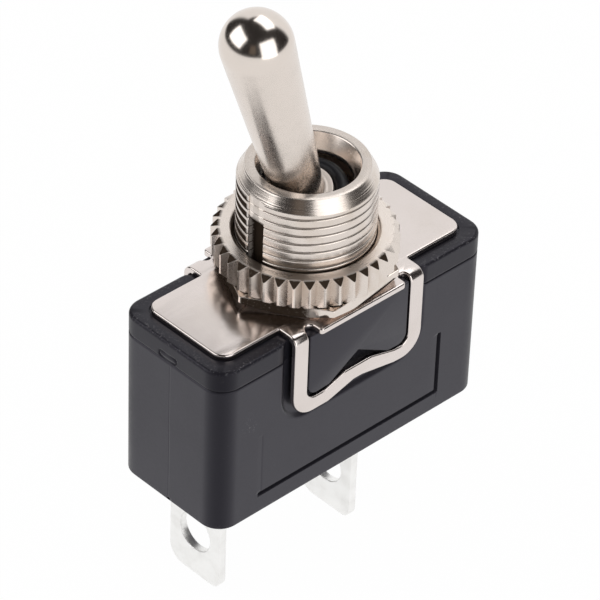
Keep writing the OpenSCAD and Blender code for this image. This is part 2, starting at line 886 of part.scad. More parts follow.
// Fulcrum: folded bracket with a bored ear on each side of the rocker
module fulcrum() {
    ear_top = fulcrum_z + trunnion_d / 2 + 0.7;
    half_wid = ear_face + fulcrum_t;
    color([0.78, 0.62, 0.34])
    difference() {
        union() {
            translate([-ear_len / 2, -half_wid, foot_top])
                cube([ear_len, 2 * half_wid, fulcrum_t]);
            both_sides()
                translate([-ear_len / 2, -half_wid, foot_top])
                    cube([ear_len, fulcrum_t, ear_top - foot_top]);
        }
        translate([0, 0, fulcrum_z])
            rotate([90, 0, 0])
                translate([0, 0, -half_wid - cut])
                    cylinder(r = trunnion_d / 2 + fit_clearance, h = 2 * (half_wid + cut));
        translate([0, 0, foot_top - cut])
            cylinder(d = rivet_d, h = fulcrum_t + 2 * cut);
    }
}

// Rivet through the fulcrum's base and the common terminal's foot
module fulcrum_rivet() {
    color([0.76, 0.64, 0.40])
    rotate_extrude()
        polygon([
            [0, floor_z - rivet_head_h], [rivet_head_d / 2, floor_z - rivet_head_h], [rivet_head_d / 2, floor_z],
            [rivet_d / 2, floor_z], [rivet_d / 2, fulcrum_top], [rivet_head_d / 2, fulcrum_top],
            [rivet_head_d / 2 - 0.3, fulcrum_top + rivet_head_h], [0, fulcrum_top + rivet_head_h]
        ]);
}

// Outline of a lug seen along X: y across, z up, from its end up to the given top
module lug_outline(len, top) {
    low = base_z - len;
    half = lug_wid / 2;
    difference() {
        union() {
            translate([-half, low + lug_back_r])
                square([2 * half, top - low - lug_back_r]);
            translate([-half + lug_front_r, low])
                square([2 * half - lug_front_r - lug_back_r, lug_back_r + cut]);
            translate([-half, low + lug_front_r])
                square([lug_front_r + cut, lug_back_r]);
            translate([-half + lug_front_r, low + lug_front_r])
                circle(r = lug_front_r);
            translate([half - lug_back_r, low + lug_back_r])
                circle(r = lug_back_r);
        }
        translate([0, low + lug_hole_h])
            circle(d = lug_hole_d);
    }
}

// A lug whose near face is at x, standing up to the given top
module lug(x, len, top) {
    translate([x, 0, 0])
        rotate([90, 0, 90])
            linear_extrude(height = lug_t)
                lug_outline(len, top);
}

// Common terminal: lug with a foot folded along the floor under the fulcrum
module common_terminal() {
    color([0.90, 0.89, 0.88])
    difference() {
        union() {
            lug(common_lug_x, common_lug_len, foot_top);
            translate([foot_end, -foot_wid / 2, floor_z])
                cube([common_lug_x + lug_t - foot_end, foot_wid, lug_t]);
        }
        translate([0, 0, floor_z - cut])
            cylinder(d = rivet_d, h = lug_t + 2 * cut);
    }
}

// End terminal: lug that rises in the case and turns in under the rocker's contact
module end_terminal() {
    color([0.90, 0.89, 0.88])
    difference() {
        union() {
            lug(-end_lug_x, end_lug_len, arm_top);
            translate([-end_lug_x, -foot_wid / 2, arm_top - lug_t])
                cube([end_lug_x + arm_end, foot_wid, lug_t]);
        }
        translate([fixed_x, 0, arm_top - lug_t - cut])
            cylinder(d = rivet_d, h = lug_t + 2 * cut);
    }
}

case();
cover();
frame_plate();
staking_washer();
insulator();
bush();
hex_nut();
knurled_nut();
lever();
pivot_pin();
seal_ring();
plunger();
plunger_spring();
rocker();
rocker_contact();
fulcrum();
fulcrum_rivet();
common_terminal();
end_terminal();
fixed_contact();
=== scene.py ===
"""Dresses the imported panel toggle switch: plated metal, moulded case, studio light and camera.

Lengths are written in millimetres and turned into metres when a mesh is made. The origin is on the
bush axis at the frame plate's top face, +Z up the bush, +X along the case, and the lever leans to -X.
"""

import logging
import math
from contextlib import contextmanager
from dataclasses import dataclass
from enum import Enum
from typing import Iterator, Sequence

import bmesh
import bpy
import numpy as np
from mathutils import Matrix, Vector


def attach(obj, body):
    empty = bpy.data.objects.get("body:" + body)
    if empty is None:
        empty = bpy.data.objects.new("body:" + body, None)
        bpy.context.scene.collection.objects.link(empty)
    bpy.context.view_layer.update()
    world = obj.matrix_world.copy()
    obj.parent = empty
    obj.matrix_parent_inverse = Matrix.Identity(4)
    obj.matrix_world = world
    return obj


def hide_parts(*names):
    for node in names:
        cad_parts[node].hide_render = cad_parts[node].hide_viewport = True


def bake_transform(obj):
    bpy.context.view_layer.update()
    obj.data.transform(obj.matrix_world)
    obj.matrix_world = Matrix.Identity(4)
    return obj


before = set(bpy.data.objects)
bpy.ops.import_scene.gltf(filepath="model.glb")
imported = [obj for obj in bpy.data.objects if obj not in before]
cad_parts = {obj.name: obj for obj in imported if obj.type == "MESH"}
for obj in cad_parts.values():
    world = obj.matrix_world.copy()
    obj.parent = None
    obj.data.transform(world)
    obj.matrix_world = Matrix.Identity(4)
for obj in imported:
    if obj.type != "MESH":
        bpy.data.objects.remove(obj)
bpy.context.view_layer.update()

MM = 0.001
TAU = 2.0 * math.pi
LOG = logging.getLogger("toggle_switch")
Triple = tuple[float, float, float]
Colour = Triple
Pair = tuple[float, float]
Along = np.ndarray | float
Socket = bpy.types.NodeSocket


class Body(Enum):
    """The rigid bodies that the pieces ride on."""

    CASE = "switch_body"
    LEVER = "lever"
    PLUNGER = "plunger"


class Finish(Enum):
    """The finishes, each by the name of its material, which is also its pieces' slot."""

    CASE = "case_moulding"
    COVER = "cover_moulding"
    SHEET = "plated_sheet"
    BUSH = "plated_bush"
    HEX = "plated_nut"
    RING = "plated_ring"
    LEVER = "plated_lever"
    LUG = "tinned_lug"
    STEEL = "ground_steel"
    WIRE = "spring_wire"
    BRASS = "contact_brass"
    RIVET = "brass_rivet"
    SILVER = "contact_silver"
    RUBBER = "seal_rubber"
    FIBRE = "vulcanised_fibre"
    NYLON = "nylon"


# The CAD nodes that are shown as they are, with a better finish.
INNER_NODES: dict[str, Finish] = {
    "staking_washer": Finish.SHEET,
    "insulator": Finish.FIBRE,
    "pivot_pin": Finish.STEEL,
    "plunger": Finish.NYLON,
    "rocker": Finish.BRASS,
    "rocker_contact": Finish.SILVER,
    "fulcrum": Finish.BRASS,
    "fulcrum_rivet": Finish.RIVET,
    "fixed_contact": Finish.SILVER,
}


@contextmanager
def opened(mesh: bpy.types.Mesh) -> Iterator[bmesh.types.BMesh]:
    """Opens a mesh for editing, and writes it back at the end."""
    work = bmesh.new()
    work.from_mesh(mesh)
    yield work
    work.to_mesh(mesh)
    work.free()


def face_outwards(work: bmesh.types.BMesh) -> None:
    """Turns a closed shell's faces outwards."""
    bmesh.ops.recalc_face_normals(work, faces=work.faces)
    if work.calc_volume(signed=True) < 0.0:
        bmesh.ops.reverse_faces(work, faces=work.faces)


def tidy_mesh(mesh: bpy.types.Mesh, merge_mm: float = 0.0004) -> None:
    """Merges the points that coincide, drops collapsed faces and turns a closed shell outwards."""
    with opened(mesh) as work:
        bmesh.ops.remove_doubles(work, verts=work.verts, dist=merge_mm * MM)
        bmesh.ops.dissolve_degenerate(work, edges=work.edges, dist=merge_mm * MM * 0.5)
        face_outwards(work)


def cap_open(mesh: bpy.types.Mesh) -> None:
    """Fills each open round of a mesh with one face, and turns the shell outwards."""
    with opened(mesh) as work:
        edges = [e for e in work.edges if e.is_boundary]
        bmesh.ops.holes_fill(work, edges=edges, sides=0)
        face_outwards(work)


def new_object(name: str, data: bpy.types.ID) -> bpy.types.Object:
    """Puts a mesh, curve, lamp or camera in the scene, as a new object at the origin."""
    obj = bpy.data.objects.new(name, data)
    bpy.context.scene.collection.objects.link(obj)
    return obj


def make_object(mesh: bpy.types.Mesh, sharp_deg: float) -> bpy.types.Object:
    """Makes a piece of a mesh, under the mesh's name, smooth but for its sharp edges.

    Args:
        mesh: the finished mesh, in metres.
        sharp_deg: edges bent by more than this stay sharp, in degrees.

    Returns:
        The piece.
    """
    mesh.shade_smooth()
    mesh.set_sharp_from_angle(angle=math.radians(sharp_deg))
    return new_object(mesh.name, mesh)


def grid_faces(rows: int, cols: int, wrap_rows: bool = False, wrap_cols: bool = False) -> np.ndarray:
    """Quads over a grid of points numbered row by row.

    Args:
        rows: number of rows.
        cols: number of columns.
        wrap_rows: whether the last row joins the first.
        wrap_cols: whether the last column joins the first.

    Returns:
        An (n, 4) array of point numbers.
    """
    r = np.arange(rows if wrap_rows else rows - 1)
    c = np.arange(cols if wrap_cols else cols - 1)
    rr, cc = np.meshgrid(r, c, indexing="ij")
    r1, c1 = (rr + 1) % rows, (cc + 1) % cols
    quads = np.stack([rr * cols + cc, rr * cols + c1, r1 * cols + c1, r1 * cols + cc], axis=-1)
    return quads.reshape(-1, 4)


def grid_mesh(
    name: str, points: np.ndarray, wrap_rows: bool = False, wrap_cols: bool = False
) -> bpy.types.Mesh:
    """A mesh of quads through a (rows, cols, 3) array of points in millimetres.

    Args:
        name: the mesh's name.
        points: the grid of points.
        wrap_rows: whether the last row joins the first.
        wrap_cols: whether the last column joins the first.

    Returns:
        The tidied mesh, in metres.
    """
    rows, cols = points.shape[:2]
    faces = grid_faces(rows, cols, wrap_rows, wrap_cols)
    mesh = bpy.data.meshes.new(name)
    mesh.vertices.add(rows * cols)
    mesh.vertices.foreach_set("co", (points.reshape(-1) * MM).astype(np.float32))
    mesh.loops.add(faces.size)
    mesh.loops.foreach_set("vertex_index", faces.reshape(-1).astype(np.int32))
    mesh.polygons.add(len(faces))
    mesh.polygons.foreach_set("loop_start", np.arange(0, faces.size, 4, dtype=np.int32))
    mesh.update(calc_edges=True)
    tidy_mesh(mesh)
    return mesh


def sheet_mesh(
    name: str,
    loops: Sequence[np.ndarray],
    thick: float,
    edge: float,
    folds: Sequence[float] = (),
) -> bpy.types.Mesh:
    """A flat sheet with rounded edges, its middle plane at z = 0.

    Args:
        name: the mesh's name.
        loops: its outer outline, then the outlines of its holes, in millimetres.
        thick: thickness.
        edge: radius of its edges.
        folds: y of the lines along which it is divided, so that it can be folded there.

    Returns:
        The closed mesh, in metres.
    """
    curve = bpy.data.curves.new(name, "CURVE")
    curve.dimensions, curve.fill_mode = "2D", "BOTH"
    curve.extrude, curve.bevel_depth = (thick / 2 - edge) * MM, edge * MM
    curve.bevel_resolution, curve.offset = 2, -edge * MM
    for loop in loops:
        spline = curve.splines.new("POLY")
        spline.points.add(len(loop) - 1)
        flat = np.concatenate([loop * MM, np.zeros((len(loop), 1)), np.ones((len(loop), 1))], axis=1)
        spline.points.foreach_set("co", flat.reshape(-1).astype(np.float32))
        spline.use_cyclic_u = True
    holder = new_object(name, curve)
    graph = bpy.context.evaluated_depsgraph_get()
    mesh = bpy.data.meshes.new_from_object(holder.evaluated_get(graph))
    bpy.data.objects.remove(holder)
    bpy.data.curves.remove(curve)
    across = Vector((0.0, 1.0, 0.0))
    with opened(mesh) as work:
        bmesh.ops.remove_doubles(work, verts=work.verts, dist=0.001 * MM)
        for y in folds:
            geometry = [*work.verts, *work.edges, *work.faces]
            place = across * y * MM
            bmesh.ops.bisect_plane(work, geom=geometry, dist=1e-8, plane_co=place, plane_no=across)
    return mesh


def mesh_points(mesh: bpy.types.Mesh) -> np.ndarray:
    """A mesh's points, in millimetres, as an (n, 3) array."""
    co = np.empty(len(mesh.vertices) * 3, np.float32)
    mesh.vertices.foreach_get("co", co)
    return co.reshape(-1, 3).astype(float) / MM


def set_points(mesh: bpy.types.Mesh, points: np.ndarray) -> None:
    """Puts an (n, 3) array of points, in millimetres, into a mesh."""
    mesh.vertices.foreach_set("co", (points.reshape(-1) * MM).astype(np.float32))
    mesh.update()


def store(mesh: bpy.types.Mesh, name: str, values: np.ndarray) -> None:
    """Stores one value for each of a mesh's points, from 0 to 1, for its material to read."""
    layer = mesh.attributes.new(name, "FLOAT", "POINT")
    layer.data.foreach_set("value", values.reshape(-1).astype(np.float32))


def turned(rows: Sequence[tuple[Along, Along]], t: np.ndarray) -> np.ndarray:
    """Points of a turned surface: (R cos t, R sin t, Z).

    Args:
        rows: R and Z of each row, as one number or as one for each column.
        t: the columns' angles, in radians.

    Returns:
        A (rows, columns, 3) array.
    """
    return np.array([np.stack([r * np.cos(t), r * np.sin(t), z + 0.0 * t], axis=-1) for r, z in rows])


def arc(cx: float, cy: float, r: float, a0: float, a1: float, n: int) -> np.ndarray:
    """n + 1 points of a circle's arc between two angles in degrees: (cx + r cos a, cy + r sin a)."""
    a = np.radians(np.linspace(a0, a1, n + 1))
    return np.stack([cx + r * np.cos(a), cy + r * np.sin(a)], axis=-1)


def circle(cx: float, cy: float, r: float, n: int) -> np.ndarray:
    """n points round a circle, none of them twice."""
    return arc(cx, cy, r, 0.0, 360.0, n)[:-1]


def filleted(corners: Sequence[Triple], step_deg: float = 9.0) -> np.ndarray:
    """A closed outline whose corners are rounded.

    Each corner is cut back by r tan(turn / 2) along both sides, and an arc of radius r joins them.

    Args:
        corners: (x, y, r) of each corner, in order round the outline.
        step_deg: angle between neighbouring points of an arc.

    Returns:
        An (n, 2) array of points.
    """
    pts = np.array([(c[0], c[1]) for c in corners], float)
    out: list[np.ndarray] = []
    for i, (_, _, r) in enumerate(corners):
        p, a, b = pts[i], pts[i - 1], pts[(i + 1) % len(pts)]
        da, db = (a - p) / np.linalg.norm(a - p), (b - p) / np.linalg.norm(b - p)
        turn = math.pi - math.acos(float(np.clip(da @ db, -1, 1)))
        if r <= 0 or turn < 1e-3:
            out.append(p[None])
            continue
        cut = r * math.tan(turn / 2)
        middle = p + (da + db) / np.linalg.norm(da + db) * (r / math.cos(turn / 2))
        start, end = p + da * cut - middle, p + db * cut - middle
        a0, a1 = math.atan2(start[1], start[0]), math.atan2(end[1], end[0])
        sweep = (a1 - a0 + math.pi) % TAU - math.pi
        n = max(2, int(abs(math.degrees(sweep)) / step_deg) + 1)
        t = a0 + np.linspace(0, 1, n + 1) * sweep
        out.append(middle + r * np.stack([np.cos(t), np.sin(t)], axis=-1))
    return np.concatenate(out)


def rising(x: Along, a: float, b: float) -> Along:
    """0 below a, 1 above b, and 3 t^2 - 2 t^3 between them."""
    t = np.clip((x - a) / (b - a), 0.0, 1.0)
    return t * t * (3.0 - 2.0 * t)


def falling(x: Along, a: float, b: float) -> Along:
    """1 below a, 0 above b, and smooth between them."""
    return 1.0 - rising(x, a, b)


def band(x: Along, rise: Pair, fall: Pair) -> Along:
    """1 between two places and 0 outside them, rising and falling over the given ranges."""
    return rising(x, *rise) * falling(x, *fall)


def compass(points: np.ndarray) -> tuple[np.ndarray, np.ndarray]:
    """How far (n, 3) points are from the bush axis, and in which direction, from 0 to 360 degrees."""
    x, y = points[:, 0], points[:, 1]
    return np.hypot(x, y), np.degrees(np.arctan2(y, x)) % 360.0


def fresh_tree(owner: bpy.types.Material | bpy.types.World) -> bpy.types.NodeTree:
    """Turns on the nodes of a material or world, and takes them all away."""
    owner.use_nodes = True
    owner.node_tree.nodes.clear()
    return owner.node_tree


class Nodes:
    """Short ways of adding shader nodes to one material."""

    def __init__(self, name: str) -> None:
        """Makes the material, with an empty tree but for its output and shader.

        Args:
            name: the material's name.
        """
        self.material = bpy.data.materials.new(name)
        self.tree = fresh_tree(self.material)
        output = self.tree.nodes.new("ShaderNodeOutputMaterial")
        self.shader = self.tree.nodes.new("ShaderNodeBsdfPrincipled")
        self.link(self.shader.outputs[0], output.inputs[0])
        self.coords = self.tree.nodes.new("ShaderNodeTexCoord").outputs["Object"]

    def link(self, source: Socket, target: Socket | str) -> None:
        """Joins two sockets; a name stands for that input of the shader."""
        self.tree.links.new(source, self.shader.inputs[target] if isinstance(target, str) else target)

    def math(self, kind: str, a: Socket | float, b: Socket | float = 0.0) -> Socket:
        """One step of arithmetic on sockets or numbers.

        Args:
            kind: the step's operation.
            a: the first value.
            b: the second value.

        Returns:
            The result's socket.
        """
        node = self.tree.nodes.new("ShaderNodeMath")
        node.operation = kind
        for socket, value in zip(node.inputs, (a, b)):
            if isinstance(value, (int, float)):
                socket.default_value = value
            else:
                self.link(value, socket)
        return node.outputs[0]

    def attribute(self, name: str) -> Socket:
        """A value stored at the mesh's points, or 0 where the mesh has none."""
        node = self.tree.nodes.new("ShaderNodeAttribute")
        node.attribute_name = name
        return node.outputs["Fac"]

    def stretched(self, scale: Triple = (1.0, 1.0, 1.0)) -> Socket:
        """Object coordinates, scaled."""
        node = self.tree.nodes.new("ShaderNodeMapping")
        node.inputs["Scale"].default_value = scale
        self.link(self.coords, node.inputs["Vector"])
        return node.outputs[0]

    def upright(self, middle: Triple, turn: Triple) -> Socket:
        """Object coordinates as they were before a piece was turned and its origin put at middle."""
        node = self.tree.nodes.new("ShaderNodeMapping")
        node.vector_type = "TEXTURE"
        node.inputs["Location"].default_value = middle
        node.inputs["Rotation"].default_value = turn
        self.link(self.coords, node.inputs["Vector"])
        return node.outputs[0]

    def parts(self, vector: Socket) -> tuple[Socket, Socket, Socket]:
        """A vector's X, Y and Z."""
        node = self.tree.nodes.new("ShaderNodeSeparateXYZ")
        self.link(vector, node.inputs[0])
        return node.outputs[0], node.outputs[1], node.outputs[2]

    def around_axis(self, along: float, across: float) -> Socket:
        """Coordinates that follow a surface turned on Z.

        They are (angle * along, height * across, radius * across).

        Args:
            along: scale round the axis.
            across: scale along the axis and away from it, per metre.

        Returns:
            A vector socket.
        """
        x, y, z = self.parts(self.stretched())
        square = self.math("ADD", self.math("MULTIPLY", x, x), self.math("MULTIPLY", y, y))
        values = (self.math("ARCTAN2", y, x), z, self.math("SQRT", square))
        joined = self.tree.nodes.new("ShaderNodeCombineXYZ")
        for socket, value, scale in zip(joined.inputs, values, (along, across, across)):
            self.link(self.math("MULTIPLY", value, scale), socket)
        return joined.outputs[0]

    def noise(self, vector: Socket, scale: float, detail: float = 3.0, rough: float = 0.55) -> Socket:
        """Noise between 0 and 1 over a vector."""
        node = self.tree.nodes.new("ShaderNodeTexNoise")
        node.inputs["Scale"].default_value = scale
        node.inputs["Detail"].default_value = detail
        node.inputs["Roughness"].default_value = rough
        self.link(vector, node.inputs["Vector"])
        return node.outputs["Fac"]

    def mottle(self, scale: float, detail: float = 3.0, rough: float = 0.55) -> Socket:
        """Even noise between 0 and 1 over object coordinates."""
        return self.noise(self.stretched(), scale, detail, rough)

    def remap(self, value: Socket, low: float, high: float, to_low: float, to_high: float) -> Socket:
        """A value's range stretched onto another, and held at its ends."""
        node = self.tree.nodes.new("ShaderNodeMapRange")
        for socket, number in zip(node.inputs[1:5], (low, high, to_low, to_high)):
            socket.default_value = number
        self.link(value, node.inputs[0])
        return node.outputs[0]

    def rough(self, first: Socket, second: Socket, share: float, low: float, high: float) -> None:
        """Sets the roughness between low and high by two noises.

        Args:
            first: the first noise.
            second: the second noise.
            share: the first's share of the sum.
            low: roughness where the sum is 0.3 or less.
            high: roughness where the sum is 0.7 or more.
        """
        a, b = self.math("MULTIPLY", first, share), self.math("MULTIPLY", second, 1.0 - share)
        self.link(self.remap(self.math("ADD", a, b), 0.3, 0.7, low, high), "Roughness")

    def colour_mix(self, factor: Socket, a: Socket | Colour, b: Colour) -> Socket:
        """The colour between a, at factor 0, and b, at factor 1."""
        node = self.tree.nodes.new("ShaderNodeMix")
        node.data_type = "RGBA"
        if isinstance(a, tuple):
            node.inputs["A"].default_value = (*a, 1.0)
        else:
            self.link(a, node.inputs["A"])
        node.inputs["B"].default_value = (*b, 1.0)
        self.link(factor, node.inputs["Factor"])
        return node.outputs["Result"]

    def bump(self, height: Socket, depth_mm: float, strength: float) -> None:
        """Puts a bump of a real depth on the shader, on top of any bump it already has."""
        node = self.tree.nodes.new("ShaderNodeBump")
        node.inputs["Strength"].default_value = strength
        node.inputs["Distance"].default_value = depth_mm * MM
        self.link(height, node.inputs["Height"])
        target = self.shader.inputs["Normal"]
        if target.links:
            self.link(target.links[0].from_socket, node.inputs["Normal"])
        self.link(node.outputs[0], target)

    def set(self, **values: float | Colour) -> None:
        """Sets constant sockets of the shader, by name with spaces for underscores."""
        for key, value in values.items():
            socket = self.shader.inputs[key.replace("_", " ")]
            is_colour = isinstance(value, tuple) and len(socket.default_value) == 4
            socket.default_value = (*value, 1.0) if is_colour else value


@dataclass(frozen=True)
class TurnedNickel:
    """Nickel plate over lathe-turned brass: fine rings, faint stains, a warm cast and painted shade."""

    name: str
    rough_low: float
    rough_high: float
    ring_depth: float
    speck_depth: float
    clean: Colour = (0.73, 0.66, 0.605)
    stained: Colour = (0.60, 0.51, 0.42)
    # Colour of the painted shade.
    shade_colour: Colour = (0.030, 0.021, 0.015)
    rings_per_turn: float = 1.2
    rings_per_m: float = 9000.0
    stain_scale: float = 420.0
    speck_scale: float = 5200.0

    def build(self) -> bpy.types.Material:
        """Makes the material, in which each point's stored painted shade turns the metal a dull
        brown-black.
        """
        n = Nodes(self.name)
        rings = n.noise(n.around_axis(self.rings_per_turn, self.rings_per_m), 1.0, 2.0)
        stain = n.mottle(self.stain_scale, 4.0, 0.6)
        speck = n.mottle(self.speck_scale, 2.0)
        metal = n.colour_mix(n.remap(stain, 0.5, 0.85, 0.0, 0.7), self.clean, self.stained)
        # Painted shade: the stored value, broken up by speckle, darkens the metal and takes away its
        # shine.
        ragged_shade = n.math("MULTIPLY", n.attribute("painted_shade"), n.remap(speck, 0.25, 0.6, 0.9, 1.3))
        n.link(n.colour_mix(n.remap(ragged_shade, 0.0, 0.9, 0.0, 1.0), metal, self.shade_colour), "Base Color")
        n.link(n.remap(ragged_shade, 0.0, 0.7, 1.0, 0.0), "Metallic")
        n.link(n.remap(ragged_shade, 0.0, 0.8, 0.5, 0.0), "Specular IOR Level")
        n.rough(rings, stain, 0.5, self.rough_low, self.rough_high)
        n.bump(rings, self.ring_depth, 0.5)
        n.bump(speck, self.speck_depth, 0.35)
        return n.material


@dataclass(frozen=True)
class RolledNickel:
    """Nickel plate over rolled sheet: soft straight grain, handling marks and slightly dull patches."""

    name: str
    clean: Colour = (0.725, 0.66, 0.63)
    dull: Colour = (0.66, 0.595, 0.55)
    rough_low: float = 0.15
    rough_high: float = 0.26
    grain: Triple = (120.0, 3200.0, 1200.0)
    patch_scale: float = 230.0
    speck_scale: float = 6000.0

    def build(self) -> bpy.types.Material:
        """Makes the material."""
        n = Nodes(self.name)
        grain = n.noise(n.stretched(self.grain), 1.0)
        patch = n.mottle(self.patch_scale)
        speck = n.mottle(self.speck_scale, 2.0)
        n.link(n.colour_mix(n.remap(patch, 0.45, 0.8, 0.0, 0.6), self.clean, self.dull), "Base Color")
        n.rough(grain, patch, 0.4, self.rough_low, self.rough_high)
        n.set(Metallic=1.0)
        n.bump(grain, 0.0012, 0.3)
        n.bump(speck, 0.0008, 0.25)
        return n.material


@dataclass(frozen=True)
class LeverNickel:
    """The lever's plate: bead-blasted satin on the stem and a mirror polish on the round end."""

    name: str
    pivot: Triple
    lean_deg: float
    polish_from: float
    collar_h: float = 3.5
    clean: Colour = (0.73, 0.66, 0.605)
    clouded: Colour = (0.63, 0.59, 0.54)
    satin: float = 0.24
    mirror: float = 0.17
    collar: float = 0.55
    wobble: float = 0.3
    wobble_scale: float = 700.0
    cloud_scale: float = 380.0
    speck_scale: float = 9000.0

    def build(self) -> bpy.types.Material:
        """Makes the material. Height along the lever blends the satin into the polish."""
        n = Nodes(self.name)
        along = n.parts(n.upright(self.pivot, (0.0, -math.radians(self.lean_deg), 0.0)))[2]
        wave = n.math("SUBTRACT", n.mottle(self.wobble_scale, 2.0), 0.5)
        height = n.math("ADD", along, n.math("MULTIPLY", wave, self.wobble * MM))
        low, high = (self.polish_from - 0.35) * MM, (self.polish_from + 0.25) * MM
        polish = n.remap(height, low, high, 0.0, 1.0)
        unpolished = n.math("SUBTRACT", 1.0, polish)
        cloud = n.mottle(self.cloud_scale, 4.0, 0.6)
        speck = n.mottle(self.speck_scale, 2.0, 0.7)
        clouds = n.remap(cloud, 0.3, 0.7, self.satin - 0.05, self.satin + 0.04)
        satin = n.math("ADD", clouds, n.remap(speck, 0.35, 0.65, -0.03, 0.06))
        low, high = (self.collar_h + 0.1) * MM, (self.collar_h + 0.5) * MM
        foot = n.remap(along, low, high, self.collar, 0.0)
        dull = n.math("MULTIPLY", n.math("MAXIMUM", satin, foot), unpolished)
        n.link(n.math("ADD", dull, n.math("MULTIPLY", polish, self.mirror)), "Roughness")
        n.link(n.colour_mix(n.remap(cloud, 0.5, 0.9, 0.0, 0.5), self.clean, self.clouded), "Base Color")
        n.set(Metallic=1.0)
        n.bump(n.math("MULTIPLY", speck, unpolished), 0.0018, 0.4)
        return n.material


@dataclass(frozen=True)
class MouldedPlastic:
    """Dark moulded thermoset: fine eggshell grain, faint flow clouds and dusty scuffs."""

    name: str
    colour: Colour
    rough: float = 0.34
    grain_mm: float = 0.006
    level: float = 0.46
    corner_share: float = 0.35
    scuffed: Colour = (0.05, 0.05, 0.055)
    sheen: Colour = (0.90, 0.86, 1.0)
    dust: Colour = (0.17, 0.165, 0.17)
    cloud_scale: float = 160.0
    grain_scale: float = 3600.0
    scuff_scale: Triple = (900.0, 900.0, 2600.0)
    dust_scale: float = 5200.0

    def build(self) -> bpy.types.Material:
        """Makes the material. "corner" lowers its gloss, and "wear" puts dust on it."""
        n = Nodes(self.name)
        cloud = n.mottle(self.cloud_scale, 4.0)
        grain = n.mottle(self.grain_scale, 3.0, 0.6)
        scuff = n.noise(n.stretched(self.scuff_scale), 1.0, 5.0, 0.7)
        n.rough(cloud, grain, 0.6, self.rough - 0.07, self.rough + 0.08)
        gloss = n.remap(n.attribute("corner"), 0.0, 1.0, self.level, self.level * self.corner_share)
        n.link(gloss, "Specular IOR Level")
        dusty = n.remap(n.mottle(self.dust_scale, 3.0, 0.7), 0.56, 0.68, 0.0, 1.0)
        plastic = n.colour_mix(n.remap(scuff, 0.62, 0.86, 0.0, 0.35), self.colour, self.scuffed)
        worn = n.math("MULTIPLY", n.attribute("wear"), dusty)
        n.link(n.colour_mix(worn, plastic, self.dust), "Base Color")
        n.set(IOR=1.5, Specular_Tint=self.sheen)
        n.bump(grain, self.grain_mm, 0.5)
        return n.material


@dataclass(frozen=True)
class SoftMetal:
    """A plain metal with blotches and grain: tinned lugs, brass, silver and steel wire."""

    name: str
    colour: Colour
    blotch: Colour
    rough: float = 0.3
    grain: Triple = (3000.0, 300.0, 300.0)
    patch_scale: float = 600.0

    def build(self) -> bpy.types.Material:
        """Makes the material."""
        n = Nodes(self.name)
        grain = n.noise(n.stretched(self.grain), 1.0)
        patch = n.mottle(self.patch_scale, 4.0, 0.6)
        n.link(n.colour_mix(n.remap(patch, 0.45, 0.8, 0.0, 0.8), self.colour, self.blotch), "Base Color")
        n.rough(grain, patch, 0.5, self.rough - 0.08, self.rough + 0.12)
        n.set(Metallic=1.0)
        n.bump(grain, 0.004, 0.4)
        return n.material


@dataclass(frozen=True)
class DullSolid:
    """Rubber, fibre and nylon: a matt colour with a fine mottle."""

    name: str
    colour: Colour
    mottle: Colour
    rough: float = 0.5
    level: float = 0.5
    mottle_scale: float = 1400.0

    def build(self) -> bpy.types.Material:
        """Makes the material."""
        n = Nodes(self.name)
        n.set(Specular_IOR_Level=self.level)
        patch = n.mottle(self.mottle_scale, 4.0, 0.6)
        n.link(n.colour_mix(n.remap(patch, 0.4, 0.75, 0.0, 1.0), self.colour, self.mottle), "Base Color")
        n.link(n.remap(patch, 0.3, 0.7, self.rough - 0.08, self.rough + 0.08), "Roughness")
        n.bump(patch, 0.006, 0.4)
        return n.material


def make_finishes(lever: "Lever") -> dict[Finish, bpy.types.Material]:
    """Makes every finish.

    Args:
        lever: the lever, whose lean and length place its polish.

    Returns:
        The materials, by finish.
    """
    pivot, polish_from = (0.0, 0.0, lever.pivot_z * MM), lever.length - 0.2
    kinds = {
        Finish.CASE: (MouldedPlastic, (0.014, 0.0135, 0.0175)),
        Finish.COVER: (MouldedPlastic, (0.011, 0.0105, 0.014), 0.33, 0.010, 0.30),
        Finish.SHEET: (RolledNickel,),
        Finish.BUSH: (TurnedNickel, 0.19, 0.30, 0.006, 0.0015),
        Finish.HEX: (TurnedNickel, 0.06, 0.14, 0.0006, 0.0005),
        Finish.RING: (TurnedNickel, 0.24, 0.34, 0.0004, 0.0004),
        Finish.LEVER: (LeverNickel, pivot, lever.lean_deg, polish_from),
        Finish.LUG: (SoftMetal, (0.93, 0.925, 0.91), (0.84, 0.83, 0.81), 0.38, (400.0, 400.0, 3000.0)),
        Finish.STEEL: (SoftMetal, (0.62, 0.62, 0.63), (0.50, 0.50, 0.51), 0.26),
        Finish.WIRE: (SoftMetal, (0.66, 0.66, 0.68), (0.52, 0.52, 0.54), 0.28),
        Finish.BRASS: (SoftMetal, (0.80, 0.58, 0.27), (0.62, 0.42, 0.18), 0.28, (300.0, 3000.0, 300.0)),
        Finish.RIVET: (SoftMetal, (0.78, 0.60, 0.32), (0.58, 0.42, 0.2), 0.3),
        Finish.SILVER: (SoftMetal, (0.90, 0.90, 0.885), (0.74, 0.73, 0.70), 0.24),
        Finish.RUBBER: (DullSolid, (0.008, 0.008, 0.010), (0.014, 0.013, 0.016), 0.36, 0.22),
        Finish.FIBRE: (DullSolid, (0.17, 0.045, 0.022), (0.24, 0.08, 0.04), 0.6),
        Finish.NYLON: (DullSolid, (0.72, 0.69, 0.58), (0.62, 0.58, 0.47), 0.45),
    }
    return {finish: kind(finish.value, *values).build() for finish, (kind, *values) in kinds.items()}


def dress(obj: bpy.types.Object, material: bpy.types.Material) -> None:
    """Puts one material on a piece or on a node's own slots."""
    if not obj.material_slots:
        obj.data.materials.append(material)
    for slot in obj.material_slots:
        slot.material = material


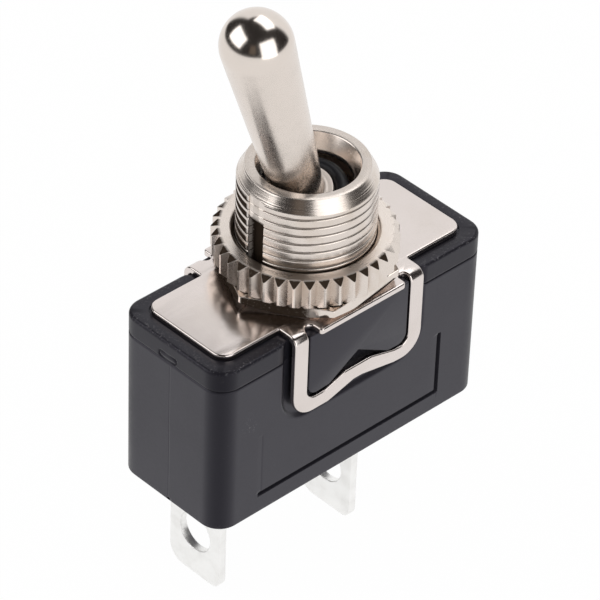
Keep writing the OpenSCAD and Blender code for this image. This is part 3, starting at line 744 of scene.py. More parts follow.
@dataclass
class Bush:
    """Threaded bush with a coned mouth, a keyway down its -X side and the chamber for the seal."""

    radius: float = 5.95
    top: float = 10.85
    mouth: float = 4.44
    throat: float = 3.8
    throat_z: float = 9.4
    throat_h: float = 0.3
    lip: float = 5.26
    chamfer_z: float = 9.65
    first_groove: float = 9.2
    pitch: float = 0.836
    groove_depth: float = 0.17
    run_out: float = 0.75
    chamber: float = 5.0
    chamber_low: float = 6.0
    bore: float = 4.2
    bore_top: float = 5.7
    neck: float = 5.2
    foot_z: float = -1.2
    key_half: float = 0.9
    key_shallow: float = 0.13
    key_depth: float = 0.8
    key_turn_z: float = 7.6
    key_middle: float = -0.1
    start_deg: float = -135.0
    columns: int = 300
    turn_marks: float = 0.16
    # Painted shade: its strength in the grooves' roots, on the far side, in the keyway and on the flat
    # top.
    root_shade: float = 0.75
    far_shade: float = 0.92
    far_rise: Pair = (95.0, 120.0)
    far_fall: Pair = (168.0, 172.0)
    key_shade: float = 0.12
    key_shade_fade_z: Pair = (6.9, 8.4)
    top_shade: float = 0.13
    # The thread's section: (share of a turn from the groove's bottom, share of the groove's depth).
    section: tuple[Pair, ...] = (
        (0.0, 1.0), (0.04, 0.92), (0.08, 0.35), (0.12, 0.04), (0.20, 0.0), (0.32, 0.0), (0.44, 0.0),
        (0.54, 0.0), (0.64, 0.0), (0.74, 0.02), (0.81, 0.05), (0.87, 0.12), (0.92, 0.32), (0.97, 0.92),
    )

    def angles(self) -> np.ndarray:
        """Angles round the bush from start_deg, with close pairs at the keyway's walls."""
        even = np.linspace(0.0, TAU, self.columns + 1)
        start = math.radians(self.start_deg)
        walls = []
        for side in (-1, 1):
            y = self.key_middle + side * self.key_half
            a = (math.pi - math.asin(y / self.radius) - start) % TAU
            walls += [a + step for step in (-0.004, -0.0005, 0.0005, 0.004)]
        return np.unique(np.concatenate([even, walls])) + start

    def thread(self, t: np.ndarray) -> tuple[np.ndarray, np.ndarray]:
        """Radii and heights of the thread's rows and of the chamfer that they run out into.

        The wall is R(t, z) = min(radius - depth * groove(phase), chamfer cone), where
        phase = (z - z0) / pitch - t / 2 pi counts turns, so that the rows climb with a right-hand
        thread. A groove is a narrow V between wide round crests, and it fades out up the chamfer.

        Args:
            t: angles of the columns, from the start angle on.

        Returns:
            Two (rows, columns) arrays.
        """
        phases, groove = np.array(self.section).T
        turns = int(self.first_groove / self.pitch) + 3
        phase = (np.arange(-turns, 3)[:, None] + phases[None, :]).reshape(-1)
        cut = np.tile(groove, turns + 3)[:, None]
        z = self.first_groove + self.pitch * (phase[:, None] + (t[None, :] - t[0]) / TAU)
        z = np.clip(z, 0.02, self.top - 0.05)
        slope = (self.radius - self.lip) / (self.top - self.chamfer_z)
        marks = 0.006 * (1.0 + np.cos(z * TAU / self.turn_marks))
        cone = self.lip + slope * (self.top - z) - marks
        end = self.chamfer_z - 0.1
        fade = band(z, (0.02, 0.42), (end, end + self.run_out))
        return np.minimum(self.radius - self.groove_depth * cut * fade, cone), z

    def key_floor(self, t: np.ndarray, depth: Along) -> np.ndarray:
        """Radius of a flat floor, cut to a depth on the -X side, in each column."""
        return (self.radius - depth) / np.maximum(np.cos(t - math.pi), 0.5)

    def build(self) -> bpy.types.Object:
        """Makes the bush, by rows out under its foot, up the thread and down the mouth."""
        t = self.angles()
        wall_r, z = self.thread(t)
        # The keyway is shallow at the top and ramps down to its full depth.
        ramp = falling(z, self.key_turn_z - 0.9, self.key_turn_z + 0.2)
        depth = self.key_shallow + (self.key_depth - self.key_shallow) * ramp
        inside = (np.cos(t) < 0) & (np.abs(self.radius * np.sin(t) - self.key_middle) < self.key_half)
        wall_r = np.where(inside, np.minimum(wall_r, self.key_floor(t, depth)), wall_r)
        foot = self.radius - 0.1
        foot_r = np.where(inside, np.minimum(foot, self.key_floor(t, self.key_depth)), foot)
        before = [
            (self.bore, self.foot_z), (self.bore, self.foot_z + 0.01), (self.neck - 0.05, self.foot_z),
            (self.neck, self.foot_z + 0.05), (self.neck, 0.0), (foot_r, 0.0),
        ]
        after = [
            (self.lip + 0.015, self.top - 0.02), (self.lip - 0.04, self.top),
            (self.mouth + 0.10, self.top), (self.mouth + 0.02, self.top - 0.03),
            (self.mouth - 0.04, self.top - 0.12), (self.throat + 0.05, self.throat_z + 0.10),
            (self.throat, self.throat_z), (self.throat, self.throat_z - self.throat_h),
            (self.chamber, self.throat_z - self.throat_h), (self.chamber, self.chamber_low),
            (self.bore, self.bore_top),
        ]
        points = turned([*before, *zip(wall_r, z), *after], t)
        mesh = grid_mesh("bush_barrel", points, wrap_rows=True)
        # Painted shade over the thread, the keyway and the flat top.
        store(mesh, "painted_shade", self.painted_shade(mesh_points(mesh)))
        return make_object(mesh, 36.0)

    def painted_shade(self, p: np.ndarray) -> np.ndarray:
        """How dark each point is painted, from 0 to 1, as painted shade.

        Painted shade: it lies in the grooves' bottoms, covers all but the crests' upper edges on the side
        beyond the keyway, where the flanks reflect dark things, and fills the keyway's shaded lower end.

        Args:
            p: (n, 3) points in millimetres.

        Returns:
            An (n,) array.
        """
        (r, deg), z = compass(p), p[:, 2]
        turn = ((deg - self.start_deg) % 360.0) / 360.0
        phase = ((z - self.first_groove) / self.pitch - turn) % 1.0
        wall = (r > self.bore + 0.9) & (z > 0.3) & (z < self.top - 0.3)
        below = falling(z, self.chamfer_z - 0.5, self.chamfer_z + 0.2)
        root = falling(np.minimum(phase, 1.0 - phase), 0.02, 0.09)
        far = band(deg, self.far_rise, self.far_fall)
        line = band(phase, (0.55, 0.68), (0.82, 0.92))
        shade = np.maximum(root * self.root_shade, far * (1.0 - line) * self.far_shade) * below
        across = np.abs(p[:, 1] - self.key_middle)
        keyed = (p[:, 0] < 0) & (across < self.key_half + 0.02) & (r < self.radius - 0.12)
        deep = self.key_shade + (1.0 - self.key_shade) * falling(z, *self.key_shade_fade_z)
        shade = np.where(keyed, deep, shade)
        flat_top = (z > self.top - 0.06) & (r > self.mouth)
        return np.where(wall, shade, np.where(flat_top, self.top_shade, 0.0))


@dataclass
class RingNut:
    """Knurled ring nut: V ridges whose two rims are chamfered, leaning a little on the thread."""

    tip: float = 7.95
    depth: float = 0.74
    thick: float = 2.8
    bore: float = 6.05
    ridges: int = 38
    first_ridge_deg: float = -130.8
    base_z: float = 1.47
    tilt_x_deg: float = 0.9
    tilt_y_deg: float = -1.5
    per_ridge: int = 12
    blunt: float = 0.93
    chamfer_from: float = 0.24
    chamfer_slope: float = 0.78
    # Painted shade on the far side of the upper chamfer: its strength, and where it rises and falls round
    # the nut.
    painted_shade: float = 0.9
    shade_rise: Pair = (100.0, 125.0)
    shade_fall: Pair = (285.0, 300.0)

    def build(self) -> bpy.types.Object:
        """Makes the nut.

        The wall is r(t) = root + depth * (1 - |2 frac - 1|), a triangle wave round the nut, its tips
        cut off at the share blunt. A chamfer cone rises from a round a little outside the root at
        each face, at chamfer_slope, which gives the ridges their pointed ends.

        Returns:
            The piece.
        """
        count = self.ridges * self.per_ridge
        t = np.arange(count) / count * TAU + math.radians(self.first_ridge_deg)
        root, h = self.tip - self.depth, self.thick
        wave = np.abs(2.0 * ((np.arange(count) / self.per_ridge) % 1.0) - 1.0)
        wall = root + self.depth * (np.minimum(wave, self.blunt) / self.blunt)
        edge = root + self.chamfer_from
        inner = np.minimum(wall, edge) - 0.02
        rise = np.maximum(wall - edge, 0.0) * self.chamfer_slope + 0.02
        rows = [
            (self.bore, 0.12), (self.bore + 0.1, 0.0), (root - 0.12, 0.0), (inner, 0.004),
            (wall - 0.015, rise - 0.012), (wall, rise + 0.03), (wall, h - rise - 0.03),
            (wall - 0.015, h - rise + 0.012), (inner, h - 0.004), (root - 0.12, h),
            (self.bore + 0.32, h), (self.bore + 0.24, h - 0.03), (self.bore, h - 0.24),
        ]
        tilt_y = Matrix.Rotation(math.radians(self.tilt_y_deg), 3, "Y")
        tilt_x = Matrix.Rotation(math.radians(self.tilt_x_deg), 3, "X")
        lean, base = np.array(tilt_y @ tilt_x), np.array([0.0, 0.0, self.base_z])
        points = turned(rows, t) @ lean.T + base
        mesh = grid_mesh("ring_nut", points, wrap_rows=True, wrap_cols=True)
        # Painted shade: the upper chamfer is darkened on the far side, where it lies in shade and
        # reflects dark things.
        p = (mesh_points(mesh) - base) @ lean
        r, deg = compass(p)
        cone_z = h - np.maximum(r - edge, 0.0) * self.chamfer_slope - 0.032
        on_cone = (p[:, 2] > cone_z) & (r > root + 0.5 * self.chamfer_from)
        store(mesh, "painted_shade", on_cone * self.painted_shade * band(deg, self.shade_rise, self.shade_fall))
        return make_object(mesh, 4.0)


@dataclass
class HexNut:
    """Thin hex nut, flat and bright on top, with its corners chamfered below."""

    flat: float = 7.0
    thick: float = 1.2
    bore: float = 6.05
    turn_deg: float = 4.3
    chamfer_r: float = 6.85
    slope: float = 0.46
    corner_half: float = 0.009
    per_side: int = 16
    # Painted shade on the far flanks: its strength, and where it rises and falls round the nut.
    painted_shade: float = 0.85
    shade_rise: Pair = (95.0, 120.0)
    shade_fall: Pair = (224.0, 238.0)

    def build(self) -> bpy.types.Object:
        """Makes the nut: r(t) = flat / cos(angle from the nearest flat), cut by the chamfer cone."""
        share = np.arange(1, self.per_side) / self.per_side
        near = self.corner_half * np.array([1.0, 2.6])
        side = np.concatenate([near, share * TAU / 6, TAU / 6 - near[::-1]])
        a = (side[None, :] + np.arange(6)[:, None] * TAU / 6).reshape(-1)
        hexagon, h = self.flat / np.cos((a % (TAU / 6)) - TAU / 12), self.thick
        low = np.minimum(hexagon, self.chamfer_r)
        rise = np.maximum(hexagon - self.chamfer_r, 0.0) * self.slope
        rows = [
            (self.bore, 0.0), (low - 0.03, 0.0), (hexagon - 0.012, rise), (hexagon, rise + 0.03),
            (hexagon, h - 0.06), (hexagon - 0.015, h - 0.018), (hexagon - 0.06, h), (self.bore, h),
        ]
        points = turned(rows, a + math.radians(self.turn_deg))
        mesh = grid_mesh("hex_nut_seat", points, wrap_rows=True, wrap_cols=True)
        # Painted shade: the flanks are darkened on the far side, under the knurled nut's shadow and
        # reflecting dark things, but for their corners.
        p = mesh_points(mesh)
        r, deg = compass(p)
        off_corner = np.abs((deg - self.turn_deg + 30.0) % 60.0 - 30.0) > 0.7
        flank = (r > self.chamfer_r) & (p[:, 2] < self.thick - 0.03) & off_corner
        store(mesh, "painted_shade", flank * self.painted_shade * band(deg, self.shade_rise, self.shade_fall))
        return make_object(mesh, 8.0)


@dataclass
class Lever:
    """The lever: tapered stem with a ball-like end, collar, hidden ball and tail, and the seal ring."""

    pivot_z: float = 5.0
    lean_deg: float = 17.15
    length: float = 21.2
    knob: float = 3.08
    stem: float = 2.15
    collar: float = 2.95
    ball_flat: float = 2.15
    collar_h: float = 3.5
    fillet: float = 0.40
    ball: float = 4.1
    tail: float = 1.9
    tail_len: float = 7.2
    tail_bore: float = 1.25
    bore_top: float = -1.1
    seal_mid: float = 3.6
    seal_h: float = 2.8
    seal_tube: float = 0.65
    columns: int = 128
    seal_columns: int = 96
    seal_rows: int = 32
    end_steps: int = 28
    stem_rows: int = 24
    ball_steps: int = 30

    def leaned(self, rows: Sequence[Pair], columns: int) -> np.ndarray:
        """A surface turned on the upright lever's axis, then turned and moved to where it stands."""
        lean = np.array(Matrix.Rotation(-math.radians(self.lean_deg), 3, "Y"))
        points = turned(rows, np.arange(columns) / columns * TAU)
        return points @ lean.T + np.array([0.0, 0.0, self.pivot_z])

    def profile(self) -> np.ndarray:
        """(radius, height) of the lever's section, from the round end's pole down to the bore's end."""
        slope = (self.knob - self.stem) / (self.length - self.collar_h)
        end = arc(0.0, self.length, self.knob, 90.0, -math.degrees(slope), self.end_steps)
        s = np.linspace(self.length - 0.4, self.collar_h + self.fillet + 0.05, self.stem_rows)
        stem = np.stack([self.stem + slope * (s - self.collar_h), s], axis=-1)
        fillet_x, fillet_z = self.stem + self.fillet + 0.02, self.collar_h + self.fillet
        fillet = arc(fillet_x, fillet_z, self.fillet, 180.0, 270.0, 6)
        collar = np.array([
            (self.collar - 0.12, self.collar_h), (self.collar - 0.03, self.collar_h - 0.03),
            (self.collar, self.collar_h - 0.12), (self.collar, self.ball_flat),
        ])
        join = math.degrees(math.asin(self.ball_flat / self.ball))
        lower = math.degrees(math.acos(self.tail / self.ball))
        ball = arc(0.0, 0.0, self.ball, join, -lower, self.ball_steps)
        tail = np.array([
            (self.tail, -self.tail_len + 0.1), (self.tail - 0.1, -self.tail_len),
            (self.tail_bore, -self.tail_len), (self.tail_bore, self.bore_top), (0.0, self.bore_top),
        ])
        return np.concatenate([end, stem, fillet, collar, ball, tail])

    def build(self) -> bpy.types.Object:
        """Makes the turned lever."""
        points = self.leaned(self.profile(), self.columns)
        return make_object(grid_mesh("lever_handle", points, wrap_cols=True), 38.0)

    def build_seal(self) -> bpy.types.Object:
        """Makes the rubber ring: a tube of radius seal_tube carried round the collar."""
        w = np.arange(self.seal_rows) / self.seal_rows * TAU
        radii = self.seal_mid + self.seal_tube * np.cos(w)
        heights = self.seal_h + self.seal_tube * np.sin(w)
        points = self.leaned(list(zip(radii, heights)), self.seal_columns)
        return make_object(grid_mesh("seal_collar_ring", points, True, True), 60.0)


@dataclass
class FramePlate:
    """The folded frame: one flat pattern with two loops, cut, edge-rounded and folded down."""

    shift: float = 0.24
    length: float = 27.8
    width: float = 9.6
    corner: float = 1.3
    thick: float = 0.6
    half: float = 7.4
    arm: float = 1.5
    drop: float = 8.6
    bar: float = 1.4
    rise: float = 0.82
    loop_corner: float = 2.2
    face: float = 6.945
    bend: float = 1.0
    lip: float = 7.3
    relief: float = 0.5
    bore: float = 5.25
    edge: float = 0.15
    bend_steps: int = 10
    hole_points: int = 96

    def flat_start(self) -> float:
        """Distance from the middle line at which the arms start to fold."""
        return self.face - self.bend

    def mid_radius(self) -> float:
        """Radius of the fold at the middle of the sheet."""
        return self.bend - self.thick / 2

    def unfold(self, z: float) -> float:
        """Distance along the flat pattern of a point of the loop that hangs at height z."""
        return self.flat_start() + self.mid_radius() * math.pi / 2 - self.bend - z

    def outer_loop(self) -> np.ndarray:
        """The pattern's outline, both loops included, in (x, distance) of the flat sheet."""
        cx, hx, hy = self.shift, self.length / 2, self.width / 2
        low, side = self.unfold(-self.drop), self.half
        crimp = [(-3.4, 0.0, 1.6), (-0.5, -self.rise, 0.8), (0.5, -self.rise, 0.8), (4.3, -0.12, 1.6)]
        corners = [(cx - hx, -hy, self.corner), (-side, -hy, 0.12), (-side, -low, self.loop_corner)]
        corners += [(x, -low - dz, r) for x, dz, r in crimp]
        corners += [(side, -low, self.loop_corner), (side, -hy, 0.12), (cx + hx, -hy, self.corner)]
        back = [(x, -y, r) for x, y, r in reversed(corners)]
        return filleted(corners + back)

    def opening(self, side: int) -> np.ndarray:
        """One loop's opening between arms, free lip and bar; side is -1 in front and 1 behind."""
        inner, top = self.half - self.arm, self.flat_start() + 0.02
        notch, bar, r = inner - 2 * self.relief, self.unfold(-self.drop + self.bar), self.relief * 0.98
        corners = [
            (-inner, top, r), (-notch, top, r), (-notch, self.lip, 0.35),
            (notch, self.lip, 0.35), (notch, top, r), (inner, top, r),
            (inner, bar, 1.0), (4.2, bar - 0.10, 1.6), (1.5, bar - self.rise, 1.4),
            (-1.5, bar - self.rise, 1.4), (-4.0, bar, 1.6), (-inner, bar, 1.0),
        ]
        return filleted([(x, side * y, rr) for x, y, rr in corners])

    def fold(self, p: np.ndarray) -> np.ndarray:
        """Folds points of the flat pattern.

        Past flat_start the sheet turns through an arc of mid_radius m: with a = (s - s0) / m, the
        middle surface is (s0 + m sin a, -m (1 - cos a)) and its normal (sin a, cos a). Past a right
        angle it hangs straight down. The free lips between the arms stay flat.

        Args:
            p: (n, 3) points, the middle of the sheet at z = 0.

        Returns:
            The folded points, with the plate's top at z = 0.
        """
        s, side = np.abs(p[:, 1]), np.sign(p[:, 1])
        m, s0 = self.mid_radius(), self.flat_start()
        notch = self.half - self.arm - self.relief
        lip = (np.abs(p[:, 0]) < notch) & (s < self.lip + 0.6)
        a = np.where(lip, 0.0, np.clip((s - s0) / m, 0.0, math.pi / 2))
        down = np.where(lip, 0.0, np.maximum(s - s0 - m * math.pi / 2, 0.0))
        flat = np.where(lip, s, np.minimum(s, s0))
        y = flat + m * np.sin(a) + p[:, 2] * np.sin(a)
        z = -m * (1.0 - np.cos(a)) - down + p[:, 2] * np.cos(a)
        return np.stack([p[:, 0], side * y, z - self.thick / 2], axis=-1)

    def build(self) -> bpy.types.Object:
        """Makes the folded frame."""
        hole = circle(0.0, 0.0, self.bore, self.hole_points)
        loops = [self.outer_loop(), self.opening(-1), self.opening(1), hole]
        s0, span = self.flat_start(), self.mid_radius() * math.pi / 2
        places = [s0 + span * k / self.bend_steps for k in range(self.bend_steps + 1)]
        folds = [side * q for side in (-1, 1) for q in places]
        mesh = sheet_mesh("frame_sheet", loops, self.thick, self.edge, folds)
        set_points(mesh, self.fold(mesh_points(mesh)))
        tidy_mesh(mesh)
        return make_object(mesh, 35.0)


class Side(Enum):
    """The parts of an outline, in the order in which its ring has them, and its corners."""

    FRONT = 0
    RIGHT = 1
    BACK = 2
    LEFT = 3
    CORNER = 4


@dataclass(frozen=True)
class Outline:
    """A rectangle with round corners, seen from above, about the origin."""

    length: float
    width: float
    r: float
    corner_steps: int = 10

    def ring(self, side_x: np.ndarray, end_y: np.ndarray) -> np.ndarray:
        """Points round the outline from the front face's left end, anticlockwise seen from +Z.

        Args:
            side_x: X of the points along each long face, rising.
            end_y: Y of the points along each short face, rising.

        Returns:
            An (n, 2) array, with no point twice.
        """
        hx, hy, r = self.length / 2, self.width / 2, self.r
        faces = (
            (side_x, np.full_like(side_x, -hy)), (np.full_like(end_y, hx), end_y),
            (side_x[::-1], np.full_like(side_x, hy)), (np.full_like(end_y, -hx), end_y[::-1]),
        )
        middles = ((hx - r, r - hy), (hx - r, hy - r), (r - hx, hy - r), (r - hx, r - hy))
        parts = []
        for face, middle, start in zip(faces, middles, (-90, 0, 90, 180)):
            parts += [np.stack(face, axis=-1), arc(*middle, r, start, start + 90, self.corner_steps)]
        return np.concatenate(parts)

    def sides(self, side_x: np.ndarray, end_y: np.ndarray) -> np.ndarray:
        """The value of the Side that each point of the same ring is on."""
        corner = [Side.CORNER.value] * (self.corner_steps + 1)
        labels: list[int] = []
        for side, along in zip(Side, (side_x, end_y, side_x, end_y)):
            labels += [side.value] * len(along) + corner
        return np.array(labels)

    def normals(self, ring: np.ndarray) -> np.ndarray:
        """Outward normals at the ring's points.

        They point away from the nearest point of the rectangle that is smaller by r on each side.
        """
        inner = np.array([self.length, self.width]) / 2 - self.r
        away = ring - np.clip(ring, -inner, inner)
        return away / np.linalg.norm(away, axis=1, keepdims=True)


@dataclass
class Moulding:
    """What the case and the cover share: their outline, and the pockets that the loops lie in."""

    shift: float = 0.24
    outline: Outline = Outline(30.9, 12.56, 2.0)
    seam_z: float = -2.41
    pocket_half: float = 7.78
    pocket_depth: float = 0.35
    slope: float = 0.5
    corner_share: float = 0.85

    def off_corners(self, *places: Sequence[float]) -> np.ndarray:
        """The places along a long face that lie between its corners, sorted."""
        x = np.sort(np.concatenate(places))
        return x[np.abs(x) < self.outline.length / 2 - self.outline.r - 0.05]

    def round(self, ring: np.ndarray, normal: np.ndarray, inset: Along, z: Along) -> np.ndarray:
        """One round of points: the ring moved inwards by inset along its normals, at height z."""
        x, y = (ring - normal * np.reshape(inset, (-1, 1))).T
        return np.stack([x + self.shift, y, np.broadcast_to(z, x.shape)], axis=-1)

    def mark(self, mesh: bpy.types.Mesh, wear: np.ndarray) -> None:
        """Stores how far each point is round an upright corner, and how worn it is, for the plastic.

        The corner value is sin(2 a), with a the direction out of the corner's axis, and 0 elsewhere.

        Args:
            mesh: the moulding, in metres.
            wear: the wear of each point, from 0 to 1.
        """
        p, flat = mesh_points(mesh), self.outline
        dx = np.maximum(np.abs(p[:, 0] - self.shift) - (flat.length / 2 - flat.r), 0.0)
        dy = np.maximum(np.abs(p[:, 1]) - (flat.width / 2 - flat.r), 0.0)
        size = np.maximum(dx * dx + dy * dy, 1e-9)
        round_it = np.sqrt(size) > self.corner_share * flat.r
        store(mesh, "corner", np.where(round_it, 2.0 * dx * dy / size, 0.0))
        store(mesh, "wear", wear)


@dataclass
class Case(Moulding):
    """The lower moulding: tapered walls with the loops' pockets, the groove frame and its marks."""

    base_z: float = -17.27
    taper: float = 0.03
    wall: float = 1.2
    floor: float = 1.5
    foot_round: float = 0.15
    pocket_drop: float = 8.95
    pocket_corner: float = 2.55
    groove_half: float = 10.36
    groove_low: float = -15.3
    groove_top: float = -9.07
    groove_wide: float = 0.38
    groove_deep: float = 0.42
    faint_deep: float = 0.02
    witness_y: float = -0.08
    witness_deep: float = 0.018
    chip_deep: float = 0.22
    scrape: Pair = (-11.8, -7.2)
    scrape_size: Pair = (0.4, 0.8)
    foot_wear: float = 0.5
    fine_half: float = 8.7
    fine_step: float = 0.12
    closing: float = 0.02
    groove_points: tuple[float, ...] = (-0.24, -0.19, -0.15, -0.09, 0.0, 0.09, 0.15, 0.19, 0.24)
    witness_points: tuple[float, ...] = (-0.20, -0.12, -0.07, -0.035, 0.0, 0.035, 0.07, 0.12, 0.20)

    def columns(self) -> np.ndarray:
        """X of the points along a long face, close together where there is detail."""
        lines = [side * self.groove_half + d for side in (-1, 1) for d in self.groove_points]
        right = np.array([9.0, 9.4, 9.9, 10.9, 11.2, 11.8, 12.6, 13.2])
        fine = np.arange(-self.fine_half, self.fine_half + 0.01, self.fine_step)
        return self.off_corners(fine, lines, -right, right)

    def end_columns(self) -> np.ndarray:
        """Y of the points along a short face, close together at the witness line."""
        near = [self.witness_y + d for d in self.witness_points]
        return np.sort(np.concatenate([np.linspace(-3.9, 3.9, 15), near]))

    def rows(self) -> np.ndarray:
        """Heights of the rows up the wall, from the foot's round to the seam."""
        low = [self.groove_low + d for d in self.groove_points]
        mid = np.linspace(self.groove_low + 0.5, -9.9, 9)
        fine = np.arange(-9.7, self.seam_z - 0.25, self.fine_step)
        foot = [self.base_z + d for d in (self.foot_round, 0.22, 0.35, 0.5)]
        return np.sort(np.concatenate([foot, [-16.2], low, mid, fine, [self.groove_top - 0.02]]))

    def end_depth(self, y: np.ndarray, z: float) -> np.ndarray:
        """How far the -X face is sunk: a hairline witness mark down it, and a chip at its foot."""
        away = np.abs(y - self.witness_y)
        line = self.witness_deep * falling(away, 0.02, 0.07)
        low = falling(z, self.base_z + 0.1, self.base_z + 0.35)
        chip = self.chip_deep * falling(away, 0.06, 0.20) * low
        return np.maximum(line, chip)

    def pocket(self, x: np.ndarray, z: float) -> np.ndarray:
        """How far a long face is sunk by the pocket and its soft lip.

        It is faded over the slope's width by the distance to a U with round corners.
        """
        r = self.pocket_corner
        qx = np.maximum(np.abs(x) - (self.pocket_half - r), 0.0)
        qz = np.maximum((-self.pocket_drop + r) - z, 0.0)
        return self.pocket_depth * falling(np.hypot(qx, qz) - r, -0.02, self.slope)

    def grooves(self, x: np.ndarray, z: float) -> np.ndarray:
        """How far the front face is sunk by the groove frame, whose left side is all but filled.

        A groove is deep * (1 - smooth step of |distance| from 0.30 wide to 0.62 wide).
        """
        g, w, low, top = self.groove_half, self.groove_wide, self.groove_low, self.groove_top
        beyond = np.maximum(z - top, 0.0) + np.maximum(low - z, 0.0)
        along = np.hypot(np.maximum(np.abs(x) - g, 0.0), z - low)
        near = np.minimum(along, np.hypot(x - g, beyond))
        groove = self.groove_deep * falling(near, 0.30 * w, 0.62 * w)
        faint = self.faint_deep * falling(np.hypot(x + g, beyond), 0.1 * w, 0.5 * w)
        return np.maximum(groove, faint)

    def build(self) -> bpy.types.Object:
        """Makes the moulding: rounds of its outline up the wall, over its rim and down inside."""
        side_x, end_y = self.columns(), self.end_columns()
        ring, side = self.outline.ring(side_x, end_y), self.outline.sides(side_x, end_y)
        normal = self.outline.normals(ring)
        front, back, left = (side == s.value for s in (Side.FRONT, Side.BACK, Side.LEFT))
        x, y = ring[:, 0] + self.shift, ring[:, 1]
        foot_in, foot_z = self.taper + self.foot_round, self.base_z + self.foot_round
        foot = arc(0.0, 0.0, self.foot_round, 270.0, 180.0, 5)[:-1]
        rows = [self.round(ring, normal, foot_in + fx, foot_z + fz) for fx, fz in foot]
        for z in self.rows():
            drawn = (self.seam_z - z) / (self.seam_z - self.base_z) * self.taper
            pocket = np.where(front | back, self.pocket(x, z), 0.0)
            sunk = np.maximum(pocket, np.where(front, self.grooves(x, z), 0.0))
            sunk = np.where(left, self.end_depth(y, z), sunk)
            rows.append(self.round(ring, normal, drawn + sunk, z))
        top = np.where(front | back, self.pocket(x, self.seam_z), 0.0)
        for inset, down in ((top, 0.16), (top + 0.03, 0.10), (top + 0.22, 0.01), (self.wall, 0.0)):
            rows.append(self.round(ring, normal, inset, self.seam_z - down))
        rows.append(self.round(ring, normal, self.wall, self.base_z + self.floor))
        # Small rounds close the bottom and the floor, and each is filled by one face.
        small = np.array([self.closing, self.closing, 1.0])
        grid = np.array([rows[0] * small, *rows, rows[-1] * small])
        mesh = grid_mesh("case_shell", grid, wrap_cols=True)
        cap_open(mesh)
        p = mesh_points(mesh)
        across, up = ((p[:, i] - m) / s for i, m, s in zip((0, 2), self.scrape, self.scrape_size))
        scrape = np.exp(-(across**2) - up**2) * (p[:, 1] < 0)
        foot = self.foot_wear * falling(p[:, 2], self.base_z + 0.1, self.base_z + 0.5)
        self.mark(mesh, np.maximum(scrape, foot))
        return make_object(mesh, 50.0)


